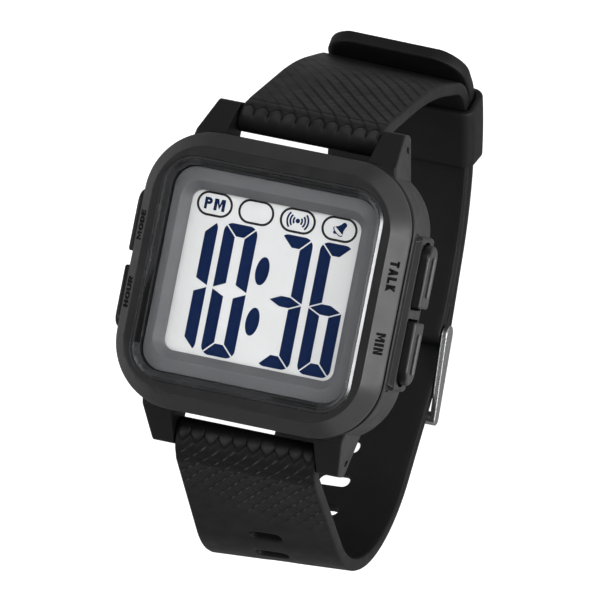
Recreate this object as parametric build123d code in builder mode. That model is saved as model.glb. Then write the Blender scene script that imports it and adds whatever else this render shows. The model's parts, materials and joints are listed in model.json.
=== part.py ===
from build123d import *
import os
from math import atan, atan2, cos, degrees, radians, sin

os.makedirs("parts", exist_ok=True)

# A digital wristwatch. +Z points out of the dial, +Y to 12 o'clock and +X to 3 o'clock.
# The origin is the centre of the back cover's outer face. All sizes are in millimetres.

# Clearances
FIT = 0.05  # seated and glued pieces, per side
RUN = 0.05  # pins that turn or slide in bores, radial
SIDE_PLAY = 0.2  # flat faces that move past each other, per side

# Case seen from the front
CASE_X = 41.3
CASE_Y = 41.0
CASE_R = 10.0
CASE_WALL = 2.8
FOOT_CHAMFER = 1.0  # slope round the underside
CASE_EDGE = 0.3  # rounding of the case's upper edge

# Heights, from the back upwards
BACK_PROUD = 0.5  # the back cover stands this far below the case
BACK_T = 1.0
FLANGE_T = 2.4  # floor of the case, which carries the module
MODULE_H = 6.9
SPLIT_DROP = 0.85  # the case ends this far below the module
GROOVE_H = 1.3  # shadow groove between case and bezel
GROOVE_DEPTH = 0.7
BAND_H = 0.4  # upright band under the bezel's chamfer
CHAMFER_H = 3.35
CHAMFER_RUN = 2.2
BEZEL_EDGE = 0.2

# Lens and display frame
LENS_X = 34.2
LENS_Y = 33.2
LENS_R = 4.8
LENS_T = 2.0
LENS_PROUD = 0.6
LENS_BEVEL = 0.75
LEDGE_W = 1.2  # bezel ledge under the lens
FRAME_GAP = 0.2  # between the ledge and the display frame
FRAME_H = 1.9
FRAME_LIP = 0.9  # flange held under the bezel
FRAME_LIP_T = 0.7
FRAME_R = 3.4
WINDOW_X = 26.4
WINDOW_Y = 23.9
WINDOW_R = 1.7
WINDOW_BEVEL = 1.3

# Display module
LCD_X = 28.8
LCD_Y = 27.8
LCD_T = 1.6
LCD_R = 0.8
REFLECTOR_T = 0.3
SHELF_T = 0.8
BOARD_T = 0.8
MODULE_WALL = 2.0
MODULE_R = 4.8
MODULE_GAP = 0.2  # round the display and the board
ZEBRA_LEN = 24.0
ZEBRA_W = 1.2
ZEBRA_IN = 1.0  # from the display's long edge to the strip's middle

# Battery and speaker
CELL_R = 10.0
CELL_T = 3.2
CELL_GAP = 0.15
CONTACT_H = 1.1  # room between board and cell
HOLDER_T = 2.4
SHEET_T = 0.3  # spring-steel strips
STRAP_PLATE_W = 5.0
STRAP_PLATE_SCREW_R = 0.5
STRAP_SCREW_OUT = 2.0  # from the cell's edge to the screw's axis
STRAP_EAR = 1.0  # from the screw's axis to the end of the strip
PIEZO_R = 12.5
PIEZO_T = 0.2
CERAMIC_R = 11.0
CONTACT_COIL_R = 0.42
CONTACT_WIRE_R = 0.11
CONTACT_TURNS = 5

# Back cover
BACK_X = 36.0
BACK_Y = 35.0
BACK_R = 4.0
BACK_EDGE = 0.3
HATCH_GAP = 0.5  # round the ends of the battery's strip
HATCH_Y = 26.0
HATCH_R = 4.0
GASKET_W = 1.0
GASKET_H = 0.6
GASKET_OUT = 0.7  # from the hatch to the gasket
SCREW_IN = 3.1  # screw axis from the cover's edges
SCREW_R = 0.6
SCREW_HEAD_R = 1.1
SCREW_LEN = 2.3
SCREW_SLOT_W = 0.35

# Lugs and strap bars
LUG_GAP = 22.3
LUG_TIP_W = 3.4
LUG_ROOT_W = 4.8
LUG_REACH = 5.0  # beyond the case wall
LUG_ROOT_IN = 1.9  # how far the root sinks into the case wall
LUG_ROOT_Z = 8.4
LUG_TIP_TOP = 1.1  # above the bar's axis
LUG_TIP_LOW = 1.8  # below the bar's axis
LUG_NOSE_R = 0.9
LUG_EDGE = 0.35
BAR_OUT = 2.8  # bar axis from the case wall
BAR_Z = 2.3
BAR_R = 0.8
BAR_WALL = 0.22
BAR_END_T = 0.4
TIP_R = 0.42
TIP_BITE = 1.5  # how far a tip stands in its lug
PISTON_LEN = 2.0
BAR_SPRING_WIRE_R = 0.09
BAR_SPRING_TURNS = 9

# Buttons, one pair on each side
BUTTON_Z = 4.75
RECESS_HALF = 10.75  # half the length of a pair's recess
RECESS_H = 5.0
RECESS_DEPTH = 2.4
POD_OUT = 0.85  # raised pad round the buttons
POD_END = 0.7  # pad beyond the recess
POD_SLOPE = 0.8
POD_EDGE = 0.6
RIB_W = 1.3  # bridge between the two buttons
CAP_GAP = 0.4
CAP_PROUD = 2.15
CAP_T = 2.4
CAP_EDGE = 0.5
BAR_LEN = 6.0  # raised line on the button's face
BAR_W = 0.7
BAR_H = 0.2
STEM_R = 0.7
STEM_REACH = 2.8  # past the recess floor
CLIP_T = 0.3
CLIP_R = 1.3
CLIP_NECK_R = 0.45
SPRING_R = 0.98
SPRING_WIRE_R = 0.12
SPRING_TURNS = 3
SPRING_POCKET = 0.9
BUTTON_TRAVEL = 0.8
CONTACT_PLAY = 0.3  # stem end to contact leaf when pressed
CONTACT_T = 0.2
CONTACT_W = 1.8
WINDOW_STEM_W = 2.4  # gaps in the module frame for the stems
WINDOW_STEM_H = 2.4

# Strap loop, as buckled. Both halves follow one arc where the keeper sits.
STRAP_T = 1.9
BAR_SLEEVE = 1.2  # rubber round a lug bar
LOOP_Y = 3.6
LOOP_Z = -4.97
LOOP_R = 43.6  # seam between the two layers
LAYER_GAP = 0.1
SHOULDER_R = 3.0
LONG_SHOULDER = (2.9, -0.1)  # outwards and down from the bar
LONG_CORNER = (-45.43, 13.37)  # from the hump beside the buckle
LONG_CORNER_R = 19.3
LONG_TWIST = 1.6  # the loop bulges more on the left edge than on the right
SHORT_TWIST = 0.45
TAIL_SKEW = 0.3
HUMP_RUN = 12.6
HUMP_R = 14.0
TAIL_FROM = 7.0  # degrees along the arc, from its lowest point
TAIL_TO = 40.0
TAIL_STEP = 2.0  # from the arc's end to the tail's bend
TAIL_BEND_R = 6.0
TAIL_ANGLE = 62.0
TAIL_RUN = 9.2
TAIL_CORNER_R = 5.0
SHORT_TO = 38.5
SHORT_RUN = 5.4
SHORT_BEND_R = 8.6
SHORT_RISE = (-2.15, 17.35)  # from the bend above the keeper
SHORT_RISE_R = 60.0
SHORT_SHOULDER = (2.0, 1.3)
SLOT_LEN = 5.2
SLOT_W = 2.2
TONGUE_BACK = 8.12  # along the strap, from the hump to the tongue's slot
SLOT_PITCH = 5.7
SLOT_COUNT = 15
TONGUE_SLOT = 9

# Keeper
KEEPER_AT = 33.8  # degrees along the arc
KEEPER_LEN = 10.3
KEEPER_WALL = 1.1
KEEPER_IN_PLAY = 0.2
KEEPER_OUT_PLAY = 0.55
KEEPER_EDGE = 0.5

# Buckle
BUCKLE_Y = -3.0
BUCKLE_DROP = 0.1  # the bar's axis lies outside the strap's mid-line
BUCKLE_BAR_R = 0.75
BUCKLE_SLEEVE = 0.85  # rubber round the buckle's bar
BUCKLE_LEN = 12.6  # from the bar to the far cross-bar
ARM_T = 0.9
ARM_HUB_R = 1.6
CROSS_R = 1.0
CROSS_PLAY = 0.25
TONGUE_W = 2.4
TONGUE_T = 1.0
TONGUE_RISE = 1.25
TONGUE_BEND_R = 0.7
TONGUE_LOOP_R = 1.35
TONGUE_OVER = 1.4

# Heights that follow
CASE_FOOT = BACK_PROUD
FLANGE_TOP = BACK_T + FLANGE_T
MODULE_TOP = FLANGE_TOP + MODULE_H
CASE_TOP = MODULE_TOP - SPLIT_DROP
BEZEL_LOW = CASE_TOP + GROOVE_H
CHAMFER_LOW = BEZEL_LOW + BAND_H
BEZEL_TOP = CHAMFER_LOW + CHAMFER_H
LENS_TOP = BEZEL_TOP + LENS_PROUD
LENS_SEAT = LENS_TOP - LENS_T
LEDGE_LOW = MODULE_TOP + FRAME_LIP_T + 2 * FIT
LCD_LOW = MODULE_TOP - LCD_T
SHELF_TOP = LCD_LOW - REFLECTOR_T
BOARD_TOP = SHELF_TOP - SHELF_T
BOARD_LOW = BOARD_TOP - BOARD_T
CELL_TOP = BOARD_LOW - CONTACT_H
CELL_LOW = CELL_TOP - CELL_T
HOLDER_TOP = FLANGE_TOP + HOLDER_T

# Widths that follow
CAVITY_X = CASE_X - 2 * CASE_WALL
CAVITY_Y = CASE_Y - 2 * CASE_WALL
CAVITY_R = CASE_R - CASE_WALL
LEDGE_X = LENS_X - 2 * LEDGE_W
LEDGE_Y = LENS_Y - 2 * LEDGE_W
FRAME_X = LEDGE_X - 2 * FRAME_GAP
FRAME_Y = LEDGE_Y - 2 * FRAME_GAP
STRAP_PLATE_SCREW_X = CELL_R + STRAP_SCREW_OUT
PLATE_HALF = STRAP_PLATE_SCREW_X + STRAP_EAR
HATCH_X = 2 * (PLATE_HALF + HATCH_GAP)  # opening to the battery
POCKET_X = LCD_X + 2 * MODULE_GAP
POCKET_Y = LCD_Y + 2 * MODULE_GAP
MODULE_X = POCKET_X + 2 * MODULE_WALL
MODULE_Y = POCKET_Y + 2 * MODULE_WALL
BAR_Y = CASE_Y / 2 + BAR_OUT
LUG_TIP_Y = CASE_Y / 2 + LUG_REACH
STRAP_W = LUG_GAP - 2 * SIDE_PLAY
BUTTON_Y = (RECESS_HALF + RIB_W / 2) / 2
POD_X = CASE_X / 2 + POD_OUT
RECESS_FLOOR = POD_X - RECESS_DEPTH
CAP_TOP = CASE_X / 2 + CAP_PROUD
CAP_LOW = CAP_TOP - CAP_T
CAP_H = RECESS_H - 2 * CAP_GAP
STEM_END = RECESS_FLOOR - STEM_REACH
CLIP_X = CAVITY_X / 2 - RUN - CLIP_T


def slab(x, y, r, low, top, mode=Mode.ADD):
    """A plate with rounded corners between two heights."""
    with BuildSketch(Plane.XY.offset(low)) as outline:
        RectangleRounded(x, y, r)
    extrude(outline.sketch, amount=top - low, mode=mode)


def drum(x, y, r, low, top, mode=Mode.ADD):
    """An upright cylinder between two heights."""
    with BuildSketch(Plane.XY.offset(low)) as outline:
        with Locations((x, y)):
            Circle(r)
    extrude(outline.sketch, amount=top - low, mode=mode)


def rod(y, z, r, start, end, mode=Mode.ADD):
    """A cylinder along X."""
    with BuildSketch(Plane.YZ.offset(start)) as outline:
        with Locations((y, z)):
            Circle(r)
    extrude(outline.sketch, amount=end - start, mode=mode)


def block(x, y, low, size_x, size_y, height, mode=Mode.ADD):
    """A box standing on a height, centred on x and y."""
    with Locations((x, y, low)):
        Box(size_x, size_y, height, align=(Align.CENTER, Align.CENTER, Align.MIN), mode=mode)


def coil(start, direction, radius, wire, turns, length):
    """A helical spring that fills a length between two flat seats."""
    run = length - 2 * wire - 2 * FIT
    axis = Vector(*direction)
    base = Vector(*start) + axis * (wire + FIT)
    path = Helix(run / turns, run, radius, center=tuple(base), direction=direction)
    with BuildPart() as spring:
        with BuildSketch(Plane(origin=path @ 0, z_dir=path % 0)):
            Circle(wire)
        sweep(path=path, is_frenet=True)
    return spring.part


def save(part, name):
    part.label = name
    export_step(part, f"parts/{name}.step")


# Case body: a box open to the front, with a floor that carries the module
with BuildPart() as lug:
    with BuildSketch(Plane.XY.offset(-CASE_TOP)):
        with BuildLine():
            Polyline(
                (LUG_GAP / 2, CASE_Y / 2 - LUG_ROOT_IN),
                (LUG_GAP / 2, LUG_TIP_Y),
                (LUG_GAP / 2 + LUG_TIP_W, LUG_TIP_Y),
                (LUG_GAP / 2 + LUG_ROOT_W, CASE_Y / 2 - LUG_ROOT_IN),
                close=True,
            )
        make_face()
    extrude(amount=2 * CASE_TOP)
    with BuildSketch(Plane.YZ) as side_view:
        with BuildLine():
            Polyline(
                (CASE_Y / 2 - LUG_ROOT_IN, CASE_FOOT),
                (CASE_Y / 2, CASE_FOOT),
                (BAR_Y, BAR_Z - LUG_TIP_LOW),
                (LUG_TIP_Y, BAR_Z - LUG_TIP_LOW),
                (LUG_TIP_Y, BAR_Z + LUG_TIP_TOP),
                (CASE_Y / 2, LUG_ROOT_Z),
                (CASE_Y / 2 - LUG_ROOT_IN, LUG_ROOT_Z),
                close=True,
            )
        make_face()
        fillet(side_view.vertices().group_by(Axis.X)[-1], radius=LUG_NOSE_R)
    extrude(amount=CASE_X / 2, mode=Mode.INTERSECT)
    fillet(lug.faces().sort_by(Axis.X)[-1].edges().filter_by(Axis.Z, reverse=True), radius=LUG_EDGE)

# Raised pad round a pair of buttons, made for the right side
with BuildPart() as pod:
    with BuildSketch(Plane.XZ.offset(-RECESS_HALF - POD_END)):
        with BuildLine():
            Polyline(
                (RECESS_FLOOR, BUTTON_Z + RECESS_H / 2 + POD_SLOPE),
                (CASE_X / 2, BUTTON_Z + RECESS_H / 2 + POD_SLOPE),
                (POD_X, BUTTON_Z + RECESS_H / 2 + CAP_GAP),
                (POD_X, BUTTON_Z - RECESS_H / 2 - CAP_GAP),
                (CASE_X / 2, CASE_FOOT + FOOT_CHAMFER),
                (RECESS_FLOOR, CASE_FOOT + FOOT_CHAMFER),
                close=True,
            )
        make_face()
    extrude(amount=2 * (RECESS_HALF + POD_END))
    pad_ends = pod.faces().filter_by(Axis.Y).edges()
    fillet(pad_ends.filter_by(lambda edge: edge.center().X > CASE_X / 2), radius=POD_EDGE)

with BuildPart() as case_body:
    slab(CASE_X, CASE_Y, CASE_R, CASE_FOOT, CASE_TOP)
    fillet(case_body.faces().sort_by(Axis.Z)[-1].edges(), radius=CASE_EDGE)
    chamfer(case_body.faces().sort_by(Axis.Z)[0].edges(), length=FOOT_CHAMFER)
    add(lug.part)
    add(mirror(lug.part, about=Plane.YZ, mode=Mode.PRIVATE))
    add(mirror(lug.part, about=Plane.XZ, mode=Mode.PRIVATE))
    add(lug.part.rotate(Axis.Z, 180))
    add(pod.part)
    add(mirror(pod.part, about=Plane.YZ, mode=Mode.PRIVATE))
    slab(CAVITY_X, CAVITY_Y, CAVITY_R, FLANGE_TOP, CASE_TOP, Mode.SUBTRACT)
    slab(HATCH_X, HATCH_Y, HATCH_R, CASE_FOOT, FLANGE_TOP, Mode.SUBTRACT)
    slab(BACK_X + 2 * FIT, BACK_Y + 2 * FIT, BACK_R + FIT, CASE_FOOT, BACK_T, Mode.SUBTRACT)
    with BuildSketch(Plane.XY.offset(BACK_T)):
        ring_in = 2 * (GASKET_OUT - FIT)
        ring_out = 2 * (GASKET_OUT + GASKET_W + FIT)
        RectangleRounded(HATCH_X + ring_out, HATCH_Y + ring_out, HATCH_R + ring_out / 2)
        RectangleRounded(HATCH_X + ring_in, HATCH_Y + ring_in, HATCH_R + ring_in / 2, mode=Mode.SUBTRACT)
    extrude(amount=GASKET_H, mode=Mode.SUBTRACT)
    with BuildSketch(Plane.XY.offset(BACK_T)):
        with GridLocations(BACK_X - 2 * SCREW_IN, BACK_Y - 2 * SCREW_IN, 2, 2):
            Circle(SCREW_R + FIT)
    extrude(amount=SCREW_LEN - BACK_T + FIT, mode=Mode.SUBTRACT)
    for bar_y in (-BAR_Y, BAR_Y):
        rod(bar_y, BAR_Z, TIP_R + 2 * RUN, -CASE_X / 2, CASE_X / 2, Mode.SUBTRACT)
    for stem_y in (-BUTTON_Y, BUTTON_Y):
        rod(stem_y, BUTTON_Z, STEM_R + RUN, -CASE_X / 2, CASE_X / 2, Mode.SUBTRACT)
    for recess_x in (-POD_X, RECESS_FLOOR):
        with BuildSketch(Plane.YZ.offset(recess_x)):
            with Locations((0, BUTTON_Z)):
                SlotOverall(2 * RECESS_HALF, RECESS_H)
                Rectangle(RIB_W, 2 * RECESS_H, mode=Mode.SUBTRACT)
        extrude(amount=RECESS_DEPTH, mode=Mode.SUBTRACT)
save(case_body.part, "case_body")

# Front bezel: chamfered ring with a ledge for the lens
with BuildPart() as front_bezel:
    slab(CASE_X, CASE_Y, CASE_R, BEZEL_LOW, CHAMFER_LOW)
    with BuildSketch(Plane.XY.offset(CHAMFER_LOW)) as base:
        RectangleRounded(CASE_X, CASE_Y, CASE_R)
    extrude(amount=CHAMFER_H, taper=degrees(atan2(CHAMFER_RUN, CHAMFER_H)))
    fillet(front_bezel.faces().sort_by(Axis.Z)[-1].edges(), radius=BEZEL_EDGE)
    slab(
        CASE_X - 2 * GROOVE_DEPTH,
        CASE_Y - 2 * GROOVE_DEPTH,
        CASE_R - GROOVE_DEPTH,
        CASE_TOP,
        BEZEL_LOW,
    )
    slab(CAVITY_X, CAVITY_Y, CAVITY_R, CASE_TOP, LEDGE_LOW, Mode.SUBTRACT)
    slab(LEDGE_X, LEDGE_Y, LENS_R - LEDGE_W, LEDGE_LOW, LENS_SEAT, Mode.SUBTRACT)
    slab(LENS_X + 2 * FIT, LENS_Y + 2 * FIT, LENS_R + FIT, LENS_SEAT, BEZEL_TOP, Mode.SUBTRACT)
save(front_bezel.part, "front_bezel")

# Lens: clear window, raised above the bezel, with a bevelled edge
with BuildPart() as lens:
    slab(LENS_X, LENS_Y, LENS_R, LENS_SEAT, BEZEL_TOP)
    with BuildSketch(Plane.XY.offset(BEZEL_TOP)):
        RectangleRounded(LENS_X, LENS_Y, LENS_R)
    extrude(amount=LENS_PROUD, taper=degrees(atan2(LENS_BEVEL, LENS_PROUD)))
save(lens.part, "lens")

# Display frame: grey mask with a sloped window, held under the bezel by its lip
with BuildPart() as display_frame:
    slab(FRAME_X, FRAME_Y, FRAME_R, MODULE_TOP, MODULE_TOP + FRAME_H)
    slab(
        FRAME_X + 2 * FRAME_LIP,
        FRAME_Y + 2 * FRAME_LIP,
        FRAME_R + FRAME_LIP,
        MODULE_TOP,
        MODULE_TOP + FRAME_LIP_T,
    )
    slab(WINDOW_X, WINDOW_Y, WINDOW_R, MODULE_TOP, MODULE_TOP + FRAME_H, Mode.SUBTRACT)
    with BuildSketch(Plane.XY.offset(MODULE_TOP + FRAME_H - WINDOW_BEVEL)):
        RectangleRounded(WINDOW_X, WINDOW_Y, WINDOW_R)
    extrude(amount=WINDOW_BEVEL, taper=-45, mode=Mode.SUBTRACT)
save(display_frame.part, "display_frame")

# Display and what lies under it
with BuildPart() as lcd_panel:
    slab(LCD_X, LCD_Y, LCD_R, LCD_LOW, MODULE_TOP)
save(lcd_panel.part, "lcd_panel")

zebra_y = LCD_Y / 2 - ZEBRA_IN
reflector_y = 2 * (zebra_y - ZEBRA_W / 2 - MODULE_GAP)
with BuildPart() as lcd_reflector:
    slab(LCD_X, reflector_y, LCD_R, SHELF_TOP, LCD_LOW)
save(lcd_reflector.part, "lcd_reflector")

with BuildPart() as module_frame:
    slab(MODULE_X, MODULE_Y, MODULE_R, FLANGE_TOP, MODULE_TOP)
    slab(POCKET_X, POCKET_Y, LCD_R + MODULE_GAP, SHELF_TOP, MODULE_TOP, Mode.SUBTRACT)
    slab(POCKET_X, POCKET_Y, LCD_R + MODULE_GAP, FLANGE_TOP, BOARD_TOP, Mode.SUBTRACT)
    slab(WINDOW_X, reflector_y - 2 * LCD_R, LCD_R, BOARD_TOP, SHELF_TOP, Mode.SUBTRACT)
    for strip_y in (-zebra_y, zebra_y):
        block(0, strip_y, BOARD_TOP, ZEBRA_LEN + 2 * MODULE_GAP, ZEBRA_W + MODULE_GAP, SHELF_T, Mode.SUBTRACT)
    for stem_y in (-BUTTON_Y, BUTTON_Y):
        window_low = BUTTON_Z - WINDOW_STEM_H / 2
        block(0, stem_y, window_low, MODULE_X, WINDOW_STEM_W, BOARD_LOW - window_low, Mode.SUBTRACT)
save(module_frame.part, "module_frame")

with BuildPart() as zebra_strips:
    for strip_y in (-zebra_y, zebra_y):
        block(0, strip_y, BOARD_TOP, ZEBRA_LEN, ZEBRA_W, LCD_LOW - BOARD_TOP)
save(zebra_strips.part, "zebra_strips")

# Circuit board and what is soldered to its underside
with BuildPart() as circuit_board:
    slab(LCD_X, LCD_Y, LCD_R, BOARD_LOW, BOARD_TOP)
save(circuit_board.part, "circuit_board")

CHIP_X = -5.5
CHIP_Y = 6.0
CHIP_R = 3.5
CHIP_H = 0.85
with BuildPart() as controller_chip:
    drum(CHIP_X, CHIP_Y, CHIP_R, BOARD_LOW - CHIP_H, BOARD_LOW)
    chamfer(controller_chip.edges().group_by(Axis.Z)[0], length=CHIP_H - FIT, length2=2 * CHIP_H)
save(controller_chip.part, "controller_chip")

CRYSTAL_R = 1.0
CRYSTAL_LEN = 6.0
CRYSTAL_X = 12.4
CRYSTAL_Y = -9.4
with BuildPart() as quartz_crystal:
    with BuildSketch(Plane.XZ.offset(-CRYSTAL_Y - CRYSTAL_LEN / 2)):
        with Locations((CRYSTAL_X, BOARD_LOW - CRYSTAL_R)):
            Circle(CRYSTAL_R)
    extrude(amount=CRYSTAL_LEN)
    fillet(quartz_crystal.edges(), radius=CRYSTAL_R / 4)
save(quartz_crystal.part, "quartz_crystal")

INDUCTOR_R = 2.0
INDUCTOR_H = 2.4
INDUCTOR_X = -11.6
INDUCTOR_Y = 10.6
with BuildPart() as boost_coil:
    drum(INDUCTOR_X, INDUCTOR_Y, INDUCTOR_R, BOARD_LOW - INDUCTOR_H, BOARD_LOW)
    with BuildSketch(Plane.XY.offset(BOARD_LOW - 0.75 * INDUCTOR_H)):
        with Locations((INDUCTOR_X, INDUCTOR_Y)):
            Circle(INDUCTOR_R)
            Circle(0.8 * INDUCTOR_R, mode=Mode.SUBTRACT)
    extrude(amount=INDUCTOR_H / 2, mode=Mode.SUBTRACT)
save(boost_coil.part, "boost_coil")

CHIP_PARTS = (
    (2.0, 9.5, 2.0, 1.25),
    (6.0, 9.5, 2.0, 1.25),
    (9.5, 6.5, 1.25, 2.0),
    (-10.5, -2.0, 1.25, 2.0),
    (-10.5, -6.0, 1.25, 2.0),
    (-3.0, -9.2, 1.6, 0.8),
    (1.0, -9.2, 1.6, 0.8),
    (4.5, -6.0, 2.9, 1.6),
)
CHIP_PART_H = 0.6
with BuildPart() as board_components:
    for chip_x, chip_y, size_x, size_y in CHIP_PARTS:
        block(chip_x, chip_y, BOARD_LOW - CHIP_PART_H, size_x, size_y, CHIP_PART_H)
save(board_components.part, "board_components")

# Battery holder, cell, its two contacts and the speaker's contact springs
ceramic_contact = (-(CELL_R + 0.75) * cos(radians(45)), -(CELL_R + 0.75) * sin(radians(45)))
plate_contact = ((CERAMIC_R + PIEZO_R) / 2 * cos(radians(60)), -(CERAMIC_R + PIEZO_R) / 2 * sin(radians(60)))
with BuildPart() as battery_holder:
    slab(LCD_X, LCD_Y, LCD_R, FLANGE_TOP, HOLDER_TOP)
    drum(0, 0, CELL_R + CELL_GAP, FLANGE_TOP, HOLDER_TOP, Mode.SUBTRACT)
    for contact_x, contact_y in (ceramic_contact, plate_contact):
        drum(contact_x, contact_y, 2 * CONTACT_COIL_R, FLANGE_TOP, HOLDER_TOP, Mode.SUBTRACT)
    pocket_low = BOARD_LOW - 2 * CRYSTAL_R - MODULE_GAP
    block(
        CRYSTAL_X,
        CRYSTAL_Y,
        pocket_low,
        2 * CRYSTAL_R + 2 * MODULE_GAP,
        CRYSTAL_LEN + 2 * MODULE_GAP,
        HOLDER_TOP - pocket_low,
        Mode.SUBTRACT,
    )
    drum(
        INDUCTOR_X,
        INDUCTOR_Y,
        INDUCTOR_R + MODULE_GAP,
        BOARD_LOW - INDUCTOR_H - MODULE_GAP,
        HOLDER_TOP,
        Mode.SUBTRACT,
    )
    for screw_x in (-STRAP_PLATE_SCREW_X, STRAP_PLATE_SCREW_X):
        drum(screw_x, 0, STRAP_PLATE_SCREW_R + FIT, FLANGE_TOP, HOLDER_TOP, Mode.SUBTRACT)
save(battery_holder.part, "battery_holder")

with BuildPart() as coin_cell:
    drum(0, 0, CELL_R, CELL_LOW, CELL_TOP)
    chamfer(coin_cell.edges().group_by(Axis.Z)[-1], length=0.7, length2=0.5)
    fillet(coin_cell.edges().group_by(Axis.Z)[0], radius=0.3)
save(coin_cell.part, "coin_cell")

with BuildPart() as battery_strap:
    with BuildSketch(Plane.XZ.offset(-STRAP_PLATE_W / 2)):
        with BuildLine():
            Polyline(
                (-PLATE_HALF, FLANGE_TOP - SHEET_T / 2),
                (-CELL_R - 3 * SHEET_T, FLANGE_TOP - SHEET_T / 2),
                (-CELL_R - SHEET_T, CELL_LOW - SHEET_T / 2),
                (CELL_R + SHEET_T, CELL_LOW - SHEET_T / 2),
                (CELL_R + 3 * SHEET_T, FLANGE_TOP - SHEET_T / 2),
                (PLATE_HALF, FLANGE_TOP - SHEET_T / 2),
            )
        trace(line_width=SHEET_T)
    extrude(amount=STRAP_PLATE_W)
    for screw_x in (-STRAP_PLATE_SCREW_X, STRAP_PLATE_SCREW_X):
        drum(screw_x, 0, STRAP_PLATE_SCREW_R + FIT, 0, HOLDER_TOP, Mode.SUBTRACT)
save(battery_strap.part, "battery_strap")

STRAP_SCREW_HEAD_T = 0.4
with BuildPart() as battery_strap_screws:
    head_top = FLANGE_TOP - SHEET_T
    for screw_x in (-STRAP_PLATE_SCREW_X, STRAP_PLATE_SCREW_X):
        drum(screw_x, 0, 1.8 * STRAP_PLATE_SCREW_R, head_top - STRAP_SCREW_HEAD_T, head_top)
        drum(screw_x, 0, STRAP_PLATE_SCREW_R, head_top, HOLDER_TOP - FIT)
save(battery_strap_screws.part, "battery_strap_screws")

LEAF_FOOT = 2.6
LEAF_BEND = 0.4
LEAF_REACH = 3.8
LEAF_TOE = 1.2
with BuildPart() as negative_contact:
    leaf_t = SHEET_T / 2
    with BuildSketch(Plane.XZ.offset(-CONTACT_W / 2)):
        with BuildLine():
            Polyline(
                (-LEAF_FOOT, BOARD_LOW - leaf_t / 2),
                (LEAF_BEND, BOARD_LOW - leaf_t / 2),
                (LEAF_BEND + LEAF_REACH, CELL_TOP + leaf_t / 2 + FIT),
                (LEAF_BEND + LEAF_REACH + LEAF_TOE, CELL_TOP + leaf_t / 2 + 4 * FIT),
            )
        trace(line_width=leaf_t)
    extrude(amount=CONTACT_W)
save(negative_contact.part, "negative_contact")

with BuildPart() as piezo_plate:
    drum(0, 0, PIEZO_R, BACK_T, BACK_T + PIEZO_T)
save(piezo_plate.part, "piezo_plate")

with BuildPart() as piezo_ceramic:
    drum(0, 0, CERAMIC_R, BACK_T + PIEZO_T, BACK_T + 2 * PIEZO_T)
save(piezo_ceramic.part, "piezo_ceramic")

with BuildPart() as speaker_springs:
    for (contact_x, contact_y), layers in ((ceramic_contact, 2), (plate_contact, 1)):
        seat = BACK_T + layers * PIEZO_T
        add(
            coil(
                (contact_x, contact_y, seat),
                (0, 0, 1),
                CONTACT_COIL_R,
                CONTACT_WIRE_R,
                CONTACT_TURNS,
                BOARD_LOW - seat,
            )
        )
save(speaker_springs.part, "speaker_springs")

# Back cover with its gasket and four countersunk screws
with BuildPart() as back_cover:
    slab(BACK_X, BACK_Y, BACK_R, 0, BACK_T)
    chamfer(back_cover.faces().sort_by(Axis.Z)[0].edges(), length=BACK_EDGE)
    with BuildSketch():
        with GridLocations(BACK_X - 2 * SCREW_IN, BACK_Y - 2 * SCREW_IN, 2, 2):
            Circle(SCREW_R + FIT)
    extrude(amount=BACK_T, mode=Mode.SUBTRACT)
    with BuildSketch():
        with GridLocations(BACK_X - 2 * SCREW_IN, BACK_Y - 2 * SCREW_IN, 2, 2):
            Circle(SCREW_HEAD_R + FIT)
    extrude(amount=SCREW_HEAD_R - SCREW_R, taper=45, mode=Mode.SUBTRACT)
save(back_cover.part, "back_cover")

with BuildPart() as back_gasket:
    with BuildSketch(Plane.XY.offset(BACK_T)):
        ring_in = 2 * GASKET_OUT
        ring_out = 2 * (GASKET_OUT + GASKET_W)
        RectangleRounded(HATCH_X + ring_out, HATCH_Y + ring_out, HATCH_R + ring_out / 2)
        RectangleRounded(HATCH_X + ring_in, HATCH_Y + ring_in, HATCH_R + ring_in / 2, mode=Mode.SUBTRACT)
    extrude(amount=GASKET_H)
save(back_gasket.part, "back_gasket")

with BuildPart() as back_screws:
    with BuildSketch(Plane.XY.offset(FIT)):
        with GridLocations(BACK_X - 2 * SCREW_IN, BACK_Y - 2 * SCREW_IN, 2, 2):
            Circle(SCREW_HEAD_R - FIT)
    extrude(amount=SCREW_HEAD_R - SCREW_R - FIT, taper=45)
    with BuildSketch(Plane.XY.offset(2 * FIT)):
        with GridLocations(BACK_X - 2 * SCREW_IN, BACK_Y - 2 * SCREW_IN, 2, 2):
            Circle(SCREW_R)
    extrude(amount=SCREW_LEN - 2 * FIT)
    with BuildSketch(Plane.XY):
        with GridLocations(BACK_X - 2 * SCREW_IN, BACK_Y - 2 * SCREW_IN, 2, 2):
            Rectangle(3 * SCREW_HEAD_R, SCREW_SLOT_W)
            Rectangle(SCREW_SLOT_W, 3 * SCREW_HEAD_R)
    extrude(amount=SCREW_SLOT_W, mode=Mode.SUBTRACT)
save(back_screws.part, "back_screws")

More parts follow.
